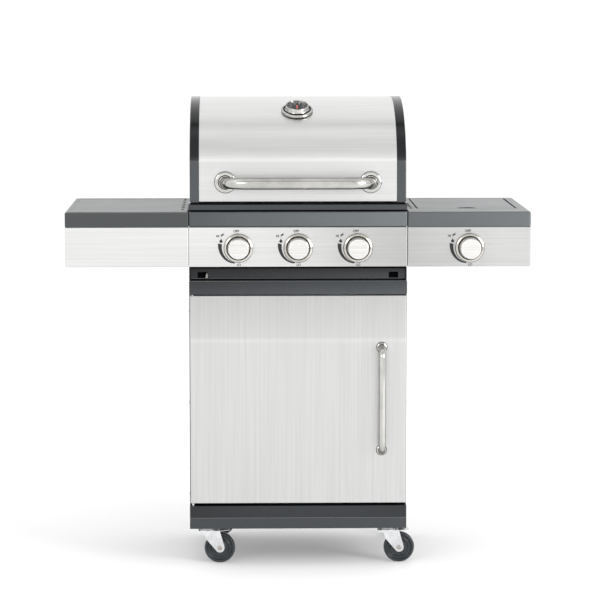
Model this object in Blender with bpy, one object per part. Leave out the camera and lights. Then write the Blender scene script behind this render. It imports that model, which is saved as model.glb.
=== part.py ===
"""Gas barbecue grill with a cabinet, two side tables, a side burner and four casters.

Units are metres, +Z is up, +X is the right-hand side seen from the front, and the
front faces -Y.  The origin is on the floor, below the centre of the whole grill.
"""
import math

import bmesh
import bpy
from mathutils import Matrix, Vector

# --- driving dimensions ----------------------------------------------------------
GAP = 0.0003                 # clearance between pieces that touch
SHEET = 0.0015               # stainless sheet
PLATE = 0.002                # painted sheet

HALF_WIDTH = 0.563           # to the outer edge of a side table
BODY_HALF = 0.2645           # half width of the cabinet and the control panel
FRONT = -0.2045              # plane of the front panels
BACK = 0.2525                # rear wall of the lid
TABLE_BACK = 0.2455
CABINET_BACK = 0.2255

BASE_BOTTOM = 0.0925
BASE_CREASE = 0.1183
BASE_TOP = 0.1485
DOOR_BOTTOM = 0.1548
DOOR_TOP = 0.6653
BEAM_BOTTOM = 0.6670
BEAM_TOP = 0.7010
PANEL_BOTTOM = 0.7353
PANEL_TOP = 0.8322
TABLE_TOP = 0.8687
RAIL_BOTTOM = 0.8725
RIM_TOP = 0.8890

PANEL_DEPTH = 0.020
DOOR_DEPTH = 0.018
BEAM_DEPTH = 0.0205
SIDE_FRONT = FRONT + BEAM_DEPTH + 0.002 + GAP
FRONT_SETBACK = 0.002        # door and beam stand this far behind the panels

# --- lid ----------------------------------------------------------------------------
LID_HALF = 0.2620
LID_CAP_WIDTH = 0.0225
LID_FRONT = FRONT + 0.018
LID_BOTTOM = 0.8905
LID_CREASE = 0.9920
LID_LEAN = 0.002             # the lower band leans back by this much
LID_ARC_DEPTH = 0.280
LID_ARC_RISE = 0.1725
LID_ARC_START = math.radians(9.24)
LID_REAR_RISE = 0.115
LID_SKIN_INSET = 0.001       # the caps stand proud of the skin
HINGE_Y = 0.2320
HINGE_Z = 0.9020
HINGE_PIN_RADIUS = 0.004

# --- firebox --------------------------------------------------------------------------
TUB_HALF = 0.2450
TUB_FRONT = -0.1275
TUB_BACK = 0.1900
TUB_FLOOR = 0.7228
GRATE_BOTTOM = 0.8608
TENT_BOTTOM = 0.8008
LEDGE = 0.008
BURNER_Z = 0.7750
BURNER_XS = (-0.150, 0.0, 0.150)

# --- controls -------------------------------------------------------------------------
KNOB_XS = (-0.1445, 0.0, 0.1445, 0.4155)
KNOB_Z = 0.7810
KNOB_REACH = 0.035
KNOB_RADIUS = 0.0278
KNOB_TRAVEL = 0.004
STEM_RADIUS = 0.004
VALVE_Y = FRONT + 0.045

# --- side tables ------------------------------------------------------------------------
TABLE_INNER = BODY_HALF + GAP
WELL_LEFT = 0.2920
WELL_RIGHT = 0.5390
WELL_FRONT = FRONT + 0.102
WELL_BACK = FRONT + 0.423
WELL_FLOOR = 0.8365
BURNER_LID_MARGIN = 0.0023
BURNER_LID_HINGE = (WELL_BACK - BURNER_LID_MARGIN - 0.004, TABLE_TOP - 0.004)
BURNER_LID_PIN_RADIUS = 0.0015
SIDE_BURNER_X = 0.4155
SIDE_BURNER_Y = 0.0570

# --- handles ------------------------------------------------------------------------------
LID_HANDLE_X = 0.1760
LID_HANDLE_Z = 0.9390
LID_HANDLE_RADIUS = 0.0140
LID_HANDLE_STANDOFF = 0.0520
LID_HANDLE_BEND = 0.070
DOOR_HANDLE_X = 0.2030
DOOR_HANDLE_LOW = 0.2860
DOOR_HANDLE_HIGH = 0.5385
DOOR_HANDLE_RADIUS = 0.0087
DOOR_HANDLE_STANDOFF = 0.036
DOOR_HANDLE_BEND = 0.022

# --- casters ------------------------------------------------------------------------------
CASTER_X = 0.2205
CASTER_FRONT_Y = FRONT + 0.050
CASTER_REAR_Y = CABINET_BACK - 0.040
CASTER_TRAIL = 0.0285
WHEEL_RADIUS = 0.0377
WHEEL_HALF = 0.0100
WHEEL_SIDES = 24
AXLE_RADIUS = 0.004
AXLE_Z = WHEEL_RADIUS * math.cos(math.pi / WHEEL_SIDES)
FORK_TOP = 0.0825
FORK_PLATE_TOP = 0.0800
LEG_INNER = 0.0113
LEG_OUTER = 0.0133

# --- thermometer ----------------------------------------------------------------------------
DIAL_ARC = math.radians(55.0)    # place of the dial on the lid's upper curve
DIAL_RADIUS = 0.0385

DOOR_PIN = (-0.2560, FRONT + FRONT_SETBACK + DOOR_DEPTH / 2)
DOOR_PIN_RADIUS = 0.003

FINISHES = {
    "stainless": ((0.62, 0.62, 0.61), 0.32, 1.0),
    "chrome": ((0.80, 0.80, 0.80), 0.12, 1.0),
    "dark_paint": ((0.105, 0.110, 0.118), 0.42, 0.25),
    "black_paint": ((0.045, 0.046, 0.050), 0.45, 0.2),
    "enamel": ((0.02, 0.02, 0.021), 0.35, 0.0),
    "cast_iron": ((0.03, 0.03, 0.03), 0.6, 0.0),
    "zinc": ((0.70, 0.71, 0.72), 0.28, 1.0),
    "brass": ((0.62, 0.47, 0.20), 0.3, 1.0),
    "tyre": ((0.055, 0.062, 0.070), 0.5, 0.0),
    "needle": ((0.80, 0.16, 0.05), 0.4, 0.0),
}


# --- modelling tools ------------------------------------------------------------------------
def clear_scene():
    for item in list(bpy.data.objects):
        bpy.data.objects.remove(item)


def mesh_from(work, name):
    bmesh.ops.recalc_face_normals(work, faces=work.faces)
    mesh = bpy.data.meshes.new(name)
    work.to_mesh(mesh)
    work.free()
    return mesh


def add_part(name, mesh, finish, location=(0, 0, 0)):
    """Put one sub-part into the scene with a material of its own."""
    color, roughness, metallic = FINISHES[finish]
    paint = bpy.data.materials.new(name)
    paint.use_nodes = True
    shader = paint.node_tree.nodes["Principled BSDF"]
    shader.inputs["Base Color"].default_value = (*color, 1)
    shader.inputs["Roughness"].default_value = roughness
    shader.inputs["Metallic"].default_value = metallic
    mesh.materials.clear()
    mesh.materials.append(paint)
    part = bpy.data.objects.new(name, mesh)
    part.location = location
    bpy.context.collection.objects.link(part)
    return part


def box(low, high):
    work = bmesh.new()
    bmesh.ops.create_cube(work, size=1)
    low = Vector(low)
    high = Vector(high)
    size = high - low
    bmesh.ops.scale(work, vec=size, verts=work.verts)
    bmesh.ops.translate(work, vec=(low + high) / 2, verts=work.verts)
    return mesh_from(work, "box")


def prism(outline, axis, start, end):
    """Extrude a closed outline along an axis; the outline is (y, z), (x, z) or (x, y)."""
    place = {
        "X": lambda u, v: (start, u, v),
        "Y": lambda u, v: (u, start, v),
        "Z": lambda u, v: (u, v, start),
    }[axis]
    step = {"X": (end - start, 0, 0), "Y": (0, end - start, 0), "Z": (0, 0, end - start)}[axis]
    work = bmesh.new()
    face = work.faces.new([work.verts.new(place(u, v)) for u, v in outline])
    grown = bmesh.ops.extrude_face_region(work, geom=[face], use_keep_orig=True)
    moved = [item for item in grown["geom"] if isinstance(item, bmesh.types.BMVert)]
    bmesh.ops.translate(work, vec=step, verts=moved)
    return mesh_from(work, "prism")


def turned(profile, sides, matrix=Matrix.Identity(4), ring=False, phase=0.0):
    """Turn a (radius, height) profile about local Z, then place it with a matrix."""
    work = bmesh.new()
    start = Matrix.Rotation(phase, 3, 'Z')
    verts = [work.verts.new(start @ Vector((radius, 0, height))) for radius, height in profile]
    edges = [work.edges.new(pair) for pair in zip(verts, verts[1:])]
    if ring:
        edges.append(work.edges.new((verts[-1], verts[0])))
    bmesh.ops.spin(
        work, geom=verts + edges, cent=(0, 0, 0), axis=(0, 0, 1), angle=math.tau,
        steps=sides, use_merge=True)
    bmesh.ops.remove_doubles(work, verts=work.verts, dist=1e-6)
    bmesh.ops.transform(work, matrix=matrix, verts=work.verts)
    mesh = mesh_from(work, "turned")
    mesh.shade_smooth()
    mesh.set_sharp_from_angle(angle=math.radians(35))
    return mesh


def rod(start, end, radius, sides=16):
    """Straight round bar between two points."""
    start = Vector(start)
    run = Vector(end) - start
    turn = run.to_track_quat('Z', 'Y').to_matrix().to_4x4()
    profile = [(0, 0), (radius, 0), (radius, run.length), (0, run.length)]
    return turned(profile, sides, Matrix.Translation(start) @ turn)


def combine(base, operation, tools):
    """Union with, or difference from, closed meshes; returns one new mesh."""
    body = bpy.data.objects.new("working body", base)
    helpers = [bpy.data.objects.new("working tool", tool) for tool in tools]
    for item in [body, *helpers]:
        bpy.context.collection.objects.link(item)
    for helper in helpers:
        step = body.modifiers.new("step", 'BOOLEAN')
        step.operation = operation
        step.object = helper
    graph = bpy.context.evaluated_depsgraph_get()
    mesh = bpy.data.meshes.new_from_object(body.evaluated_get(graph))
    for item in [body, *helpers]:
        bpy.data.objects.remove(item)
    return mesh


def union(base, *tools):
    return combine(base, 'UNION', tools)


def cut(base, *tools):
    return combine(base, 'DIFFERENCE', tools)


def pan(low, high, open_side, wall, rounding=0.0):
    """Sheet-metal pan: a box hollowed from one side, its other edges rounded."""
    axis = "XYZ".index(open_side[1])
    sign = 1 if open_side[0] == "+" else -1
    low = Vector(low)
    high = Vector(high)
    mouth = high[axis] if sign > 0 else low[axis]
    outer = box(low, high)
    if rounding:
        work = bmesh.new()
        work.from_mesh(outer)
        edges = [edge for edge in work.edges
                 if any(abs(vert.co[axis] - mouth) > 1e-6 for vert in edge.verts)]
        bmesh.ops.bevel(
            work, geom=edges, offset=rounding, segments=2, profile=0.5, affect='EDGES')
        outer = mesh_from(work, "pan")
    margin = Vector((wall, wall, wall))
    hollow_low = low + margin
    hollow_high = high - margin
    past_mouth = 0.01
    if sign > 0:
        hollow_high[axis] = high[axis] + past_mouth
    else:
        hollow_low[axis] = low[axis] - past_mouth
    return cut(outer, box(hollow_low, hollow_high))


def arc(centre, radius, start_deg, end_deg, steps):
    """Points on a circle, ends included."""
    turn = math.radians(end_deg - start_deg)
    first = math.radians(start_deg)
    return [
        (centre[0] + radius * math.cos(first + turn * step / steps),
         centre[1] + radius * math.sin(first + turn * step / steps))
        for step in range(steps + 1)
    ]


def sheet(outer, inner, start, end):
    """Bent sheet between two matching (y, z) lines, running along X from start to end."""
    work = bmesh.new()
    rows = []
    for x in (start, end):
        rows.append([work.verts.new((x, y, z)) for y, z in outer])
        rows.append([work.verts.new((x, y, z)) for y, z in inner])
    outer_a, inner_a, outer_b, inner_b = rows
    for near, far in zip(range(len(outer) - 1), range(1, len(outer))):
        work.faces.new((outer_a[near], outer_a[far], outer_b[far], outer_b[near]))
        work.faces.new((inner_a[near], inner_b[near], inner_b[far], inner_a[far]))
        work.faces.new((outer_a[near], inner_a[near], inner_a[far], outer_a[far]))
        work.faces.new((outer_b[near], outer_b[far], inner_b[far], inner_b[near]))
    for end_index in (0, -1):
        work.faces.new((outer_a[end_index], outer_b[end_index],
                        inner_b[end_index], inner_a[end_index]))
    return mesh_from(work, "sheet")


def bent_tube(name, points, radius, finish):
    """Round tube along a line of points, closed at both ends."""
    curve = bpy.data.curves.new(name, 'CURVE')
    curve.dimensions = '3D'
    curve.bevel_depth = radius
    curve.bevel_resolution = 4
    curve.use_fill_caps = True
    line = curve.splines.new('POLY')
    line.points.add(len(points) - 1)
    for point, place in zip(line.points, points):
        point.co = (*place, 1)
    return add_part(name, curve, finish)


# --- lid ----------------------------------------------------------------------------------
def lid_arc_centre():
    return (LID_FRONT + LID_LEAN + LID_ARC_DEPTH * math.cos(LID_ARC_START),
            LID_CREASE - LID_ARC_RISE * math.sin(LID_ARC_START))


def lid_outline(inset):
    """Lid shell from the front lower edge, over the top, to the rear lower edge."""
    centre_y, centre_z = lid_arc_centre()
    points = [(LID_FRONT + inset, LID_BOTTOM)]
    front_steps = 12
    for step in range(front_steps + 1):
        angle = LID_ARC_START + (math.pi / 2 - LID_ARC_START) * step / front_steps
        points.append((centre_y - (LID_ARC_DEPTH - inset) * math.cos(angle),
                       centre_z + (LID_ARC_RISE - inset) * math.sin(angle)))
    rear_depth = BACK - centre_y
    shoulder = centre_z + LID_ARC_RISE - LID_REAR_RISE
    rear_steps = 8
    for step in range(1, rear_steps + 1):
        angle = math.pi / 2 * (1 - step / rear_steps)
        points.append((centre_y + (rear_depth - inset) * math.cos(angle),
                       shoulder + (LID_REAR_RISE - inset) * math.sin(angle)))
    points.append((BACK - inset, LID_BOTTOM))
    return points


def lid_end_cap(side):
    """Dished end cap: a side plate with a rim that follows the lid's outline."""
    inner_x = side * (LID_HALF - LID_CAP_WIDTH)
    outer_x = side * LID_HALF
    solid = prism(lid_outline(0), "X", inner_x, outer_x)
    rim = 0.0028
    drop = 0.02
    hollow_line = lid_outline(rim)
    front_low = (hollow_line[0][0], LID_BOTTOM - drop)
    rear_low = (hollow_line[-1][0], LID_BOTTOM - drop)
    hollow = prism([front_low, *hollow_line[1:-1], rear_low], "X",
                   inner_x - side * drop, outer_x - side * PLATE)
    hole = rod((inner_x, HINGE_Y, HINGE_Z), (outer_x + side * 0.01, HINGE_Y, HINGE_Z),
               HINGE_PIN_RADIUS + 0.0005)
    return cut(solid, hollow, hole)


def lid_hinge(side):
    """Bracket that stands on the firebox rim and carries the lid's pivot pin."""
    plate_x = side * 0.2500
    outline = [
        (0.165, RIM_TOP + GAP),
        (0.202, RIM_TOP + GAP),
        *arc((HINGE_Y, HINGE_Z), 0.008, -80, 110, 6),
        (0.165, 0.906),
    ]
    plate = prism(outline, "X", plate_x, plate_x + side * 0.003)
    pin = rod((plate_x, HINGE_Y, HINGE_Z), (side * (LID_HALF - GAP), HINGE_Y, HINGE_Z),
              HINGE_PIN_RADIUS)
    return union(plate, pin)


def handle_path(across, out, start, end, standoff, bend_across):
    """U-shaped grip: out from start, a quarter-ellipse bend, across, and back in to end."""
    across = Vector(across)
    out = Vector(out)
    start = Vector(start)
    end = Vector(end)
    neck = 0.2 * standoff
    bend_out = standoff - neck
    steps = 7
    bend = [
        (bend_across * (1 - math.cos(math.pi / 2 * step / steps)),
         neck + bend_out * math.sin(math.pi / 2 * step / steps))
        for step in range(steps + 1)
    ]
    rise = [start + across * along + out * away for along, away in bend]
    fall = [end - across * along + out * away for along, away in reversed(bend)]
    return [start, *rise, *fall, end]


def make_lid():
    skin_end = LID_HALF - LID_CAP_WIDTH - GAP
    skin = sheet(lid_outline(LID_SKIN_INSET), lid_outline(LID_SKIN_INSET + SHEET),
                 -skin_end, skin_end)
    add_part("lid_skin", skin, "stainless")
    for side, word in ((-1, "left"), (1, "right")):
        add_part(f"lid_end_{word}", lid_end_cap(side), "dark_paint")
        add_part(f"lid_hinge_{word}", lid_hinge(side), "zinc")
    face_y = LID_FRONT + LID_SKIN_INSET
    path = handle_path(
        (1, 0, 0), (0, -1, 0), (-LID_HANDLE_X, face_y, LID_HANDLE_Z),
        (LID_HANDLE_X, face_y, LID_HANDLE_Z), LID_HANDLE_STANDOFF + LID_SKIN_INSET,
        LID_HANDLE_BEND)
    path[0].y -= GAP
    path[-1].y -= GAP
    bent_tube("lid_handle", path, LID_HANDLE_RADIUS, "chrome")


def dial_place():
    """Frame of the dial: on the lid's curve, with local Z along the curve's normal."""
    centre_y, centre_z = lid_arc_centre()
    depth = LID_ARC_DEPTH - LID_SKIN_INSET
    rise = LID_ARC_RISE - LID_SKIN_INSET
    point = Vector((0, centre_y - depth * math.cos(DIAL_ARC),
                    centre_z + rise * math.sin(DIAL_ARC)))
    normal = Vector((0, -math.cos(DIAL_ARC) / depth, math.sin(DIAL_ARC) / rise)).normalized()
    tilt = Vector((0, 0, 1)).rotation_difference(normal).to_matrix().to_4x4()
    return Matrix.Translation(point) @ tilt


def make_thermometer():
    place = dial_place()
    floor = 0.0130
    profile = [
        (0, GAP * 2),
        (DIAL_RADIUS, GAP * 2),
        (DIAL_RADIUS, 0.0040),
        (0.0300, 0.0105),
        (0.0285, 0.0180),
        (0.0245, 0.0180),
        (0.0240, floor),
        (0, floor),
    ]
    add_part("thermometer", turned(profile, 28, place), "chrome")
    hub = floor + GAP
    arrow = prism([(-0.0012, 0.006), (0.0012, 0.006), (0.0005, -0.019), (-0.0005, -0.019)],
                  "Z", 0, 0.0008)
    boss = rod((0, 0, 0), (0, 0, 0.0016), 0.0028, 12)
    needle = union(boss, arrow)
    needle.transform(Matrix.Translation((0, 0, hub)))
    part = add_part("thermometer_needle", needle, "needle")
    part.matrix_world = place


# --- firebox ------------------------------------------------------------------------------
def make_firebox():
    tub = box((-TUB_HALF - PLATE, TUB_FRONT - PLATE, TUB_FLOOR - PLATE),
              (TUB_HALF + PLATE, TUB_BACK + PLATE, RIM_TOP))
    flange_half = BODY_HALF - 0.0005
    flange_front = FRONT + 0.010
    flange = box((-flange_half, flange_front, RIM_TOP - PLATE),
                 (flange_half, TUB_BACK + 0.015, RIM_TOP))
    lip = box((-flange_half, flange_front, RAIL_BOTTOM),
              (flange_half, flange_front + PLATE, RIM_TOP))
    hollow = box((-TUB_HALF, TUB_FRONT, TUB_FLOOR), (TUB_HALF, TUB_BACK, RIM_TOP + 0.05))
    drain = box((-0.080, 0.010, TUB_FLOOR - 0.02), (0.080, 0.110, TUB_FLOOR + 0.01))
    shell = cut(union(tub, flange, lip), hollow, drain)
    inlets = [rod((x, TUB_FRONT - 0.02, BURNER_Z), (x, TUB_FRONT + 0.02, BURNER_Z), 0.0115)
              for x in BURNER_XS]
    shell = cut(shell, *inlets)
    ledges = []
    for top in (GRATE_BOTTOM - GAP, TENT_BOTTOM - GAP):
        for start, end in ((TUB_FRONT - PLATE / 2, TUB_FRONT + LEDGE),
                           (TUB_BACK - LEDGE, TUB_BACK + PLATE / 2)):
            ledges.append(box((-TUB_HALF + 0.01, start, top - PLATE),
                              (TUB_HALF - 0.01, end, top)))
    add_part("firebox", union(shell, *ledges), "enamel")


def slotted_plate(low, high, columns, rows, bar):
    """Flat grate: a plate with an even grid of rectangular slots."""
    low = Vector(low)
    high = Vector(high)

    def lines(start, end, count):
        opening = (end - start - bar * (count + 1)) / count
        marks = []
        for index in range(count + 1):
            left = start + index * (opening + bar)
            marks += [left, left + bar]
        return marks

    xs = lines(low.x, high.x, columns)
    ys = lines(low.y, high.y, rows)
    work = bmesh.new()
    grid = [[work.verts.new((x, y, low.z)) for y in ys] for x in xs]
    for i in range(len(xs) - 1):
        for j in range(len(ys) - 1):
            if i % 2 and j % 2:
                continue
            work.faces.new((grid[i][j], grid[i + 1][j], grid[i + 1][j + 1], grid[i][j + 1]))
    grown = bmesh.ops.extrude_face_region(work, geom=work.faces[:], use_keep_orig=True)
    moved = [item for item in grown["geom"] if isinstance(item, bmesh.types.BMVert)]
    bmesh.ops.translate(work, vec=(0, 0, high.z - low.z), verts=moved)
    return mesh_from(work, "grate")


def make_cooking_parts():
    edge = TUB_HALF - 0.0005
    front = TUB_FRONT + 0.0005
    back = TUB_BACK - 0.0005
    thick = 0.007
    for word, start, end in (("left", -edge, -GAP), ("right", GAP, edge)):
        grate = slotted_plate((start, front, GRATE_BOTTOM),
                              (end, back, GRATE_BOTTOM + thick), 12, 2, 0.008)
        add_part(f"cooking_grate_{word}", grate, "cast_iron")

    peak = 0.026
    half = 0.048
    thin = 0.0015
    outline = [(-half, TENT_BOTTOM), (-half + 0.004, TENT_BOTTOM),
               (0, TENT_BOTTOM + peak - thin * 2), (half - 0.004, TENT_BOTTOM),
               (half, TENT_BOTTOM), (0, TENT_BOTTOM + peak)]
    for number, x in enumerate(BURNER_XS, 1):
        shape = prism([(x + across, up) for across, up in outline], "Y", front, back)
        add_part(f"heat_tent_{number}", shape, "enamel")

    profile = [(0, 0), (0.009, 0), (0.009, 0.035), (0.0125, 0.055), (0.0125, 0.300), (0, 0.300)]
    point_back = Matrix.Rotation(-math.pi / 2, 4, 'X')
    for number, x in enumerate(BURNER_XS, 1):
        place = Matrix.Translation((x, TUB_FRONT - 0.008, BURNER_Z)) @ point_back
        add_part(f"burner_{number}", turned(profile, 14, place), "stainless")

    rack_z = 0.9550
    rack_half = 0.2360
    wire = 0.004
    shelf = slotted_plate((-rack_half, 0.095, rack_z), (rack_half, 0.185, rack_z + wire),
                          18, 1, wire)
    legs = []
    for side in (-1, 1):
        inner = side * (rack_half - wire)
        outer = side * (TUB_HALF + 0.0035)
        for y in (0.100, 0.176):
            low_x, high_x = sorted((inner, outer))
            legs.append(box((low_x, y, rack_z - 0.002), (high_x, y + wire, rack_z + wire - 0.001)))
            low_x, high_x = sorted((outer - side * wire, outer))
            legs.append(box((low_x, y, RIM_TOP + GAP), (high_x, y + wire, rack_z + 0.001)))
    add_part("warming_rack", union(shelf, *legs), "chrome")


# --- gas ------------------------------------------------------------------------------------
def make_gas_parts():
    pipe = rod((-0.205, VALVE_Y, KNOB_Z), (0.395, VALVE_Y, KNOB_Z), 0.008, 12)
    inlet = rod((-0.190, VALVE_Y, KNOB_Z), (-0.190, VALVE_Y + 0.004, KNOB_Z - 0.045), 0.007, 12)
    pieces = [inlet]
    for x in KNOB_XS[:3]:
        pieces.append(box((x - 0.012, VALVE_Y - 0.014, KNOB_Z - 0.015),
                          (x + 0.012, VALVE_Y + 0.012, KNOB_Z + 0.015)))
    for x in BURNER_XS:
        pieces.append(rod((x, VALVE_Y, BURNER_Z), (x, TUB_FRONT - 0.009, BURNER_Z), 0.005, 10))
    add_part("gas_manifold", union(pipe, *pieces), "brass")

    valve_x = KNOB_XS[3]
    body = box((valve_x - 0.012, VALVE_Y - 0.014, KNOB_Z - 0.015),
               (valve_x + 0.012, VALVE_Y + 0.012, KNOB_Z + 0.015))
    tail = rod((0.395 + GAP, VALVE_Y, KNOB_Z), (valve_x, VALVE_Y, KNOB_Z), 0.006, 12)
    spud = rod((valve_x, VALVE_Y, KNOB_Z + 0.010),
               (valve_x, VALVE_Y + 0.024, KNOB_Z + 0.010), 0.005, 10)
    add_part("side_burner_valve", union(body, tail, spud), "brass")


def make_knobs():
    """Stem that slides into its valve, and the knob that turns on it."""
    point_front = Matrix.Rotation(math.pi / 2, 4, 'X')
    face = KNOB_REACH
    skirt = 0.0065
    stem_front = 0.026
    socket_radius = STEM_RADIUS + GAP
    profile = [
        (socket_radius, skirt + 0.010),
        (0.0120, skirt + 0.010),
        (0.0225, skirt),
        (0.0265, skirt),
        (KNOB_RADIUS, skirt + 0.006),
        (0.0255, face - 0.003),
        (0.0235, face),
        (0, face),
        (0, stem_front + GAP),
        (socket_radius, stem_front + GAP),
    ]
    stem_back = FRONT - VALVE_Y + 0.014 + KNOB_TRAVEL + GAP
    for number, x in enumerate(KNOB_XS, 1):
        place = Matrix.Translation((0, 0, 0)) @ point_front
        stem = turned([(0, stem_back), (STEM_RADIUS, stem_back), (STEM_RADIUS, stem_front),
                       (0, stem_front)], 12, place)
        add_part(f"knob_stem_{number}", stem, "zinc", (x, FRONT, KNOB_Z))
        knob = turned(profile, 28, place, ring=True)
        add_part(f"knob_{number}", knob, "stainless", (x, FRONT, KNOB_Z))


# --- panels and tables ----------------------------------------------------------------------
def stem_hole(x):
    return rod((x, FRONT - 0.01, KNOB_Z), (x, FRONT + 0.012, KNOB_Z), 0.0065, 12)


def make_panels():
    body = BODY_HALF - GAP
    depth = FRONT + PANEL_DEPTH
    panel = pan((-body, FRONT, PANEL_BOTTOM), (body, depth, PANEL_TOP - GAP), "+Y", SHEET, 0.002)
    add_part("control_panel", cut(panel, *[stem_hole(x) for x in KNOB_XS[:3]]), "stainless")
    trim = pan((-body, FRONT, PANEL_TOP), (body, depth, TABLE_TOP), "+Y", PLATE, 0.0035)
    add_part("panel_trim", trim, "dark_paint")
    left = pan((-HALF_WIDTH, FRONT, PANEL_BOTTOM), (-TABLE_INNER, depth, PANEL_TOP - GAP),
               "+Y", SHEET, 0.002)
    add_part("left_table_front", left, "stainless")
    right = pan((TABLE_INNER, FRONT, PANEL_BOTTOM), (HALF_WIDTH, depth, PANEL_TOP - GAP),
                "+Y", SHEET, 0.002)
    add_part("right_table_front", cut(right, stem_hole(KNOB_XS[3])), "stainless")


def table_pan(low_x, high_x):
    """Upturned tray that forms a table top."""
    return pan((low_x, FRONT, PANEL_TOP), (high_x, TABLE_BACK, TABLE_TOP), "-Z", PLATE, 0.0035)


def burner_lid_pin(x, reach, radius):
    """Short round bar along X on the side burner lid's hinge line, centred on x."""
    return rod((x - reach, *BURNER_LID_HINGE), (x + reach, *BURNER_LID_HINGE), radius, 10)


def make_tables():
    field_depth = 0.0008
    border = 0.012
    field = box((-HALF_WIDTH + border, FRONT + border, TABLE_TOP - field_depth),
                (-TABLE_INNER - border, TABLE_BACK - border, TABLE_TOP + 0.01))
    add_part("left_table_top", cut(table_pan(-HALF_WIDTH, -TABLE_INNER), field), "dark_paint")

    sink = box((WELL_LEFT - PLATE, WELL_FRONT - PLATE, WELL_FLOOR - PLATE),
               (WELL_RIGHT + PLATE, WELL_BACK + PLATE, TABLE_TOP - PLATE / 2))
    well = box((WELL_LEFT, WELL_FRONT, WELL_FLOOR), (WELL_RIGHT, WELL_BACK, TABLE_TOP + 0.01))
    throat = rod((SIDE_BURNER_X, SIDE_BURNER_Y, WELL_FLOOR - 0.01),
                 (SIDE_BURNER_X, SIDE_BURNER_Y, WELL_FLOOR + 0.01), 0.0105)
    bores = [burner_lid_pin(x, 0.004, BURNER_LID_PIN_RADIUS + 0.0005)
             for x in (WELL_LEFT, WELL_RIGHT)]
    table = union(table_pan(TABLE_INNER, HALF_WIDTH), sink)
    add_part("right_table_top", cut(table, well, throat, *bores), "dark_paint")


def make_side_burner():
    head_top = WELL_FLOOR + 0.0145
    profile = [
        (0, -0.052), (0.0095, -0.052), (0.0095, GAP), (0.030, GAP), (0.036, 0.006),
        (0.036, 0.0145), (0, 0.0145),
    ]
    head = turned(profile, 24, Matrix.Translation((SIDE_BURNER_X, SIDE_BURNER_Y, WELL_FLOOR)))
    tube_z = KNOB_Z + 0.010
    tube = rod((SIDE_BURNER_X, SIDE_BURNER_Y, tube_z),
               (SIDE_BURNER_X, VALVE_Y + 0.026, tube_z), 0.009, 14)
    add_part("side_burner", union(head, tube), "cast_iron")

    bar = 0.005
    low = WELL_FLOOR + GAP
    top = WELL_FLOOR + 0.0200
    half = 0.095
    rest = head_top + 0.0010
    centre = (SIDE_BURNER_X, SIDE_BURNER_Y)
    frame = [
        (centre[0] - half, centre[1] - half, centre[0] + half, centre[1] - half + bar),
        (centre[0] - half, centre[1] + half - bar, centre[0] + half, centre[1] + half),
        (centre[0] - half, centre[1] - half, centre[0] - half + bar, centre[1] + half),
        (centre[0] + half - bar, centre[1] - half, centre[0] + half, centre[1] + half),
        (centre[0] - half, centre[1] - bar / 2, centre[0] + half, centre[1] + bar / 2),
        (centre[0] - bar / 2, centre[1] - half, centre[0] + bar / 2, centre[1] + half),
    ]
    bars = [box((x0, y0, rest), (x1, y1, top)) for x0, y0, x1, y1 in frame]
    foot = half - bar
    feet = []
    for across in (-1, 1):
        for along in (-1, 1):
            x = centre[0] + across * (foot + bar / 2)
            y = centre[1] + along * (foot + bar / 2)
            feet.append(box((x - bar / 2, y - bar / 2, low), (x + bar / 2, y + bar / 2, top - 0.001)))
    add_part("side_burner_grate", union(bars[0], *bars[1:], *feet), "cast_iron")

    gap = BURNER_LID_MARGIN
    cover = pan((WELL_LEFT + gap, WELL_FRONT + gap, TABLE_TOP - 0.0100),
                (WELL_RIGHT - gap, WELL_BACK - gap, TABLE_TOP), "-Z", SHEET, 0.0015)
    notch = rod((SIDE_BURNER_X, WELL_FRONT + gap - 0.0135, TABLE_TOP - 0.02),
                (SIDE_BURNER_X, WELL_FRONT + gap - 0.0135, TABLE_TOP + 0.02), 0.0145, 24)
    pin_reach = 0.0018
    pins = [burner_lid_pin(x, pin_reach, BURNER_LID_PIN_RADIUS)
            for x in (WELL_LEFT + pin_reach / 2, WELL_RIGHT - pin_reach / 2)]
    add_part("side_burner_lid", union(cut(cover, notch), *pins), "dark_paint")


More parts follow.
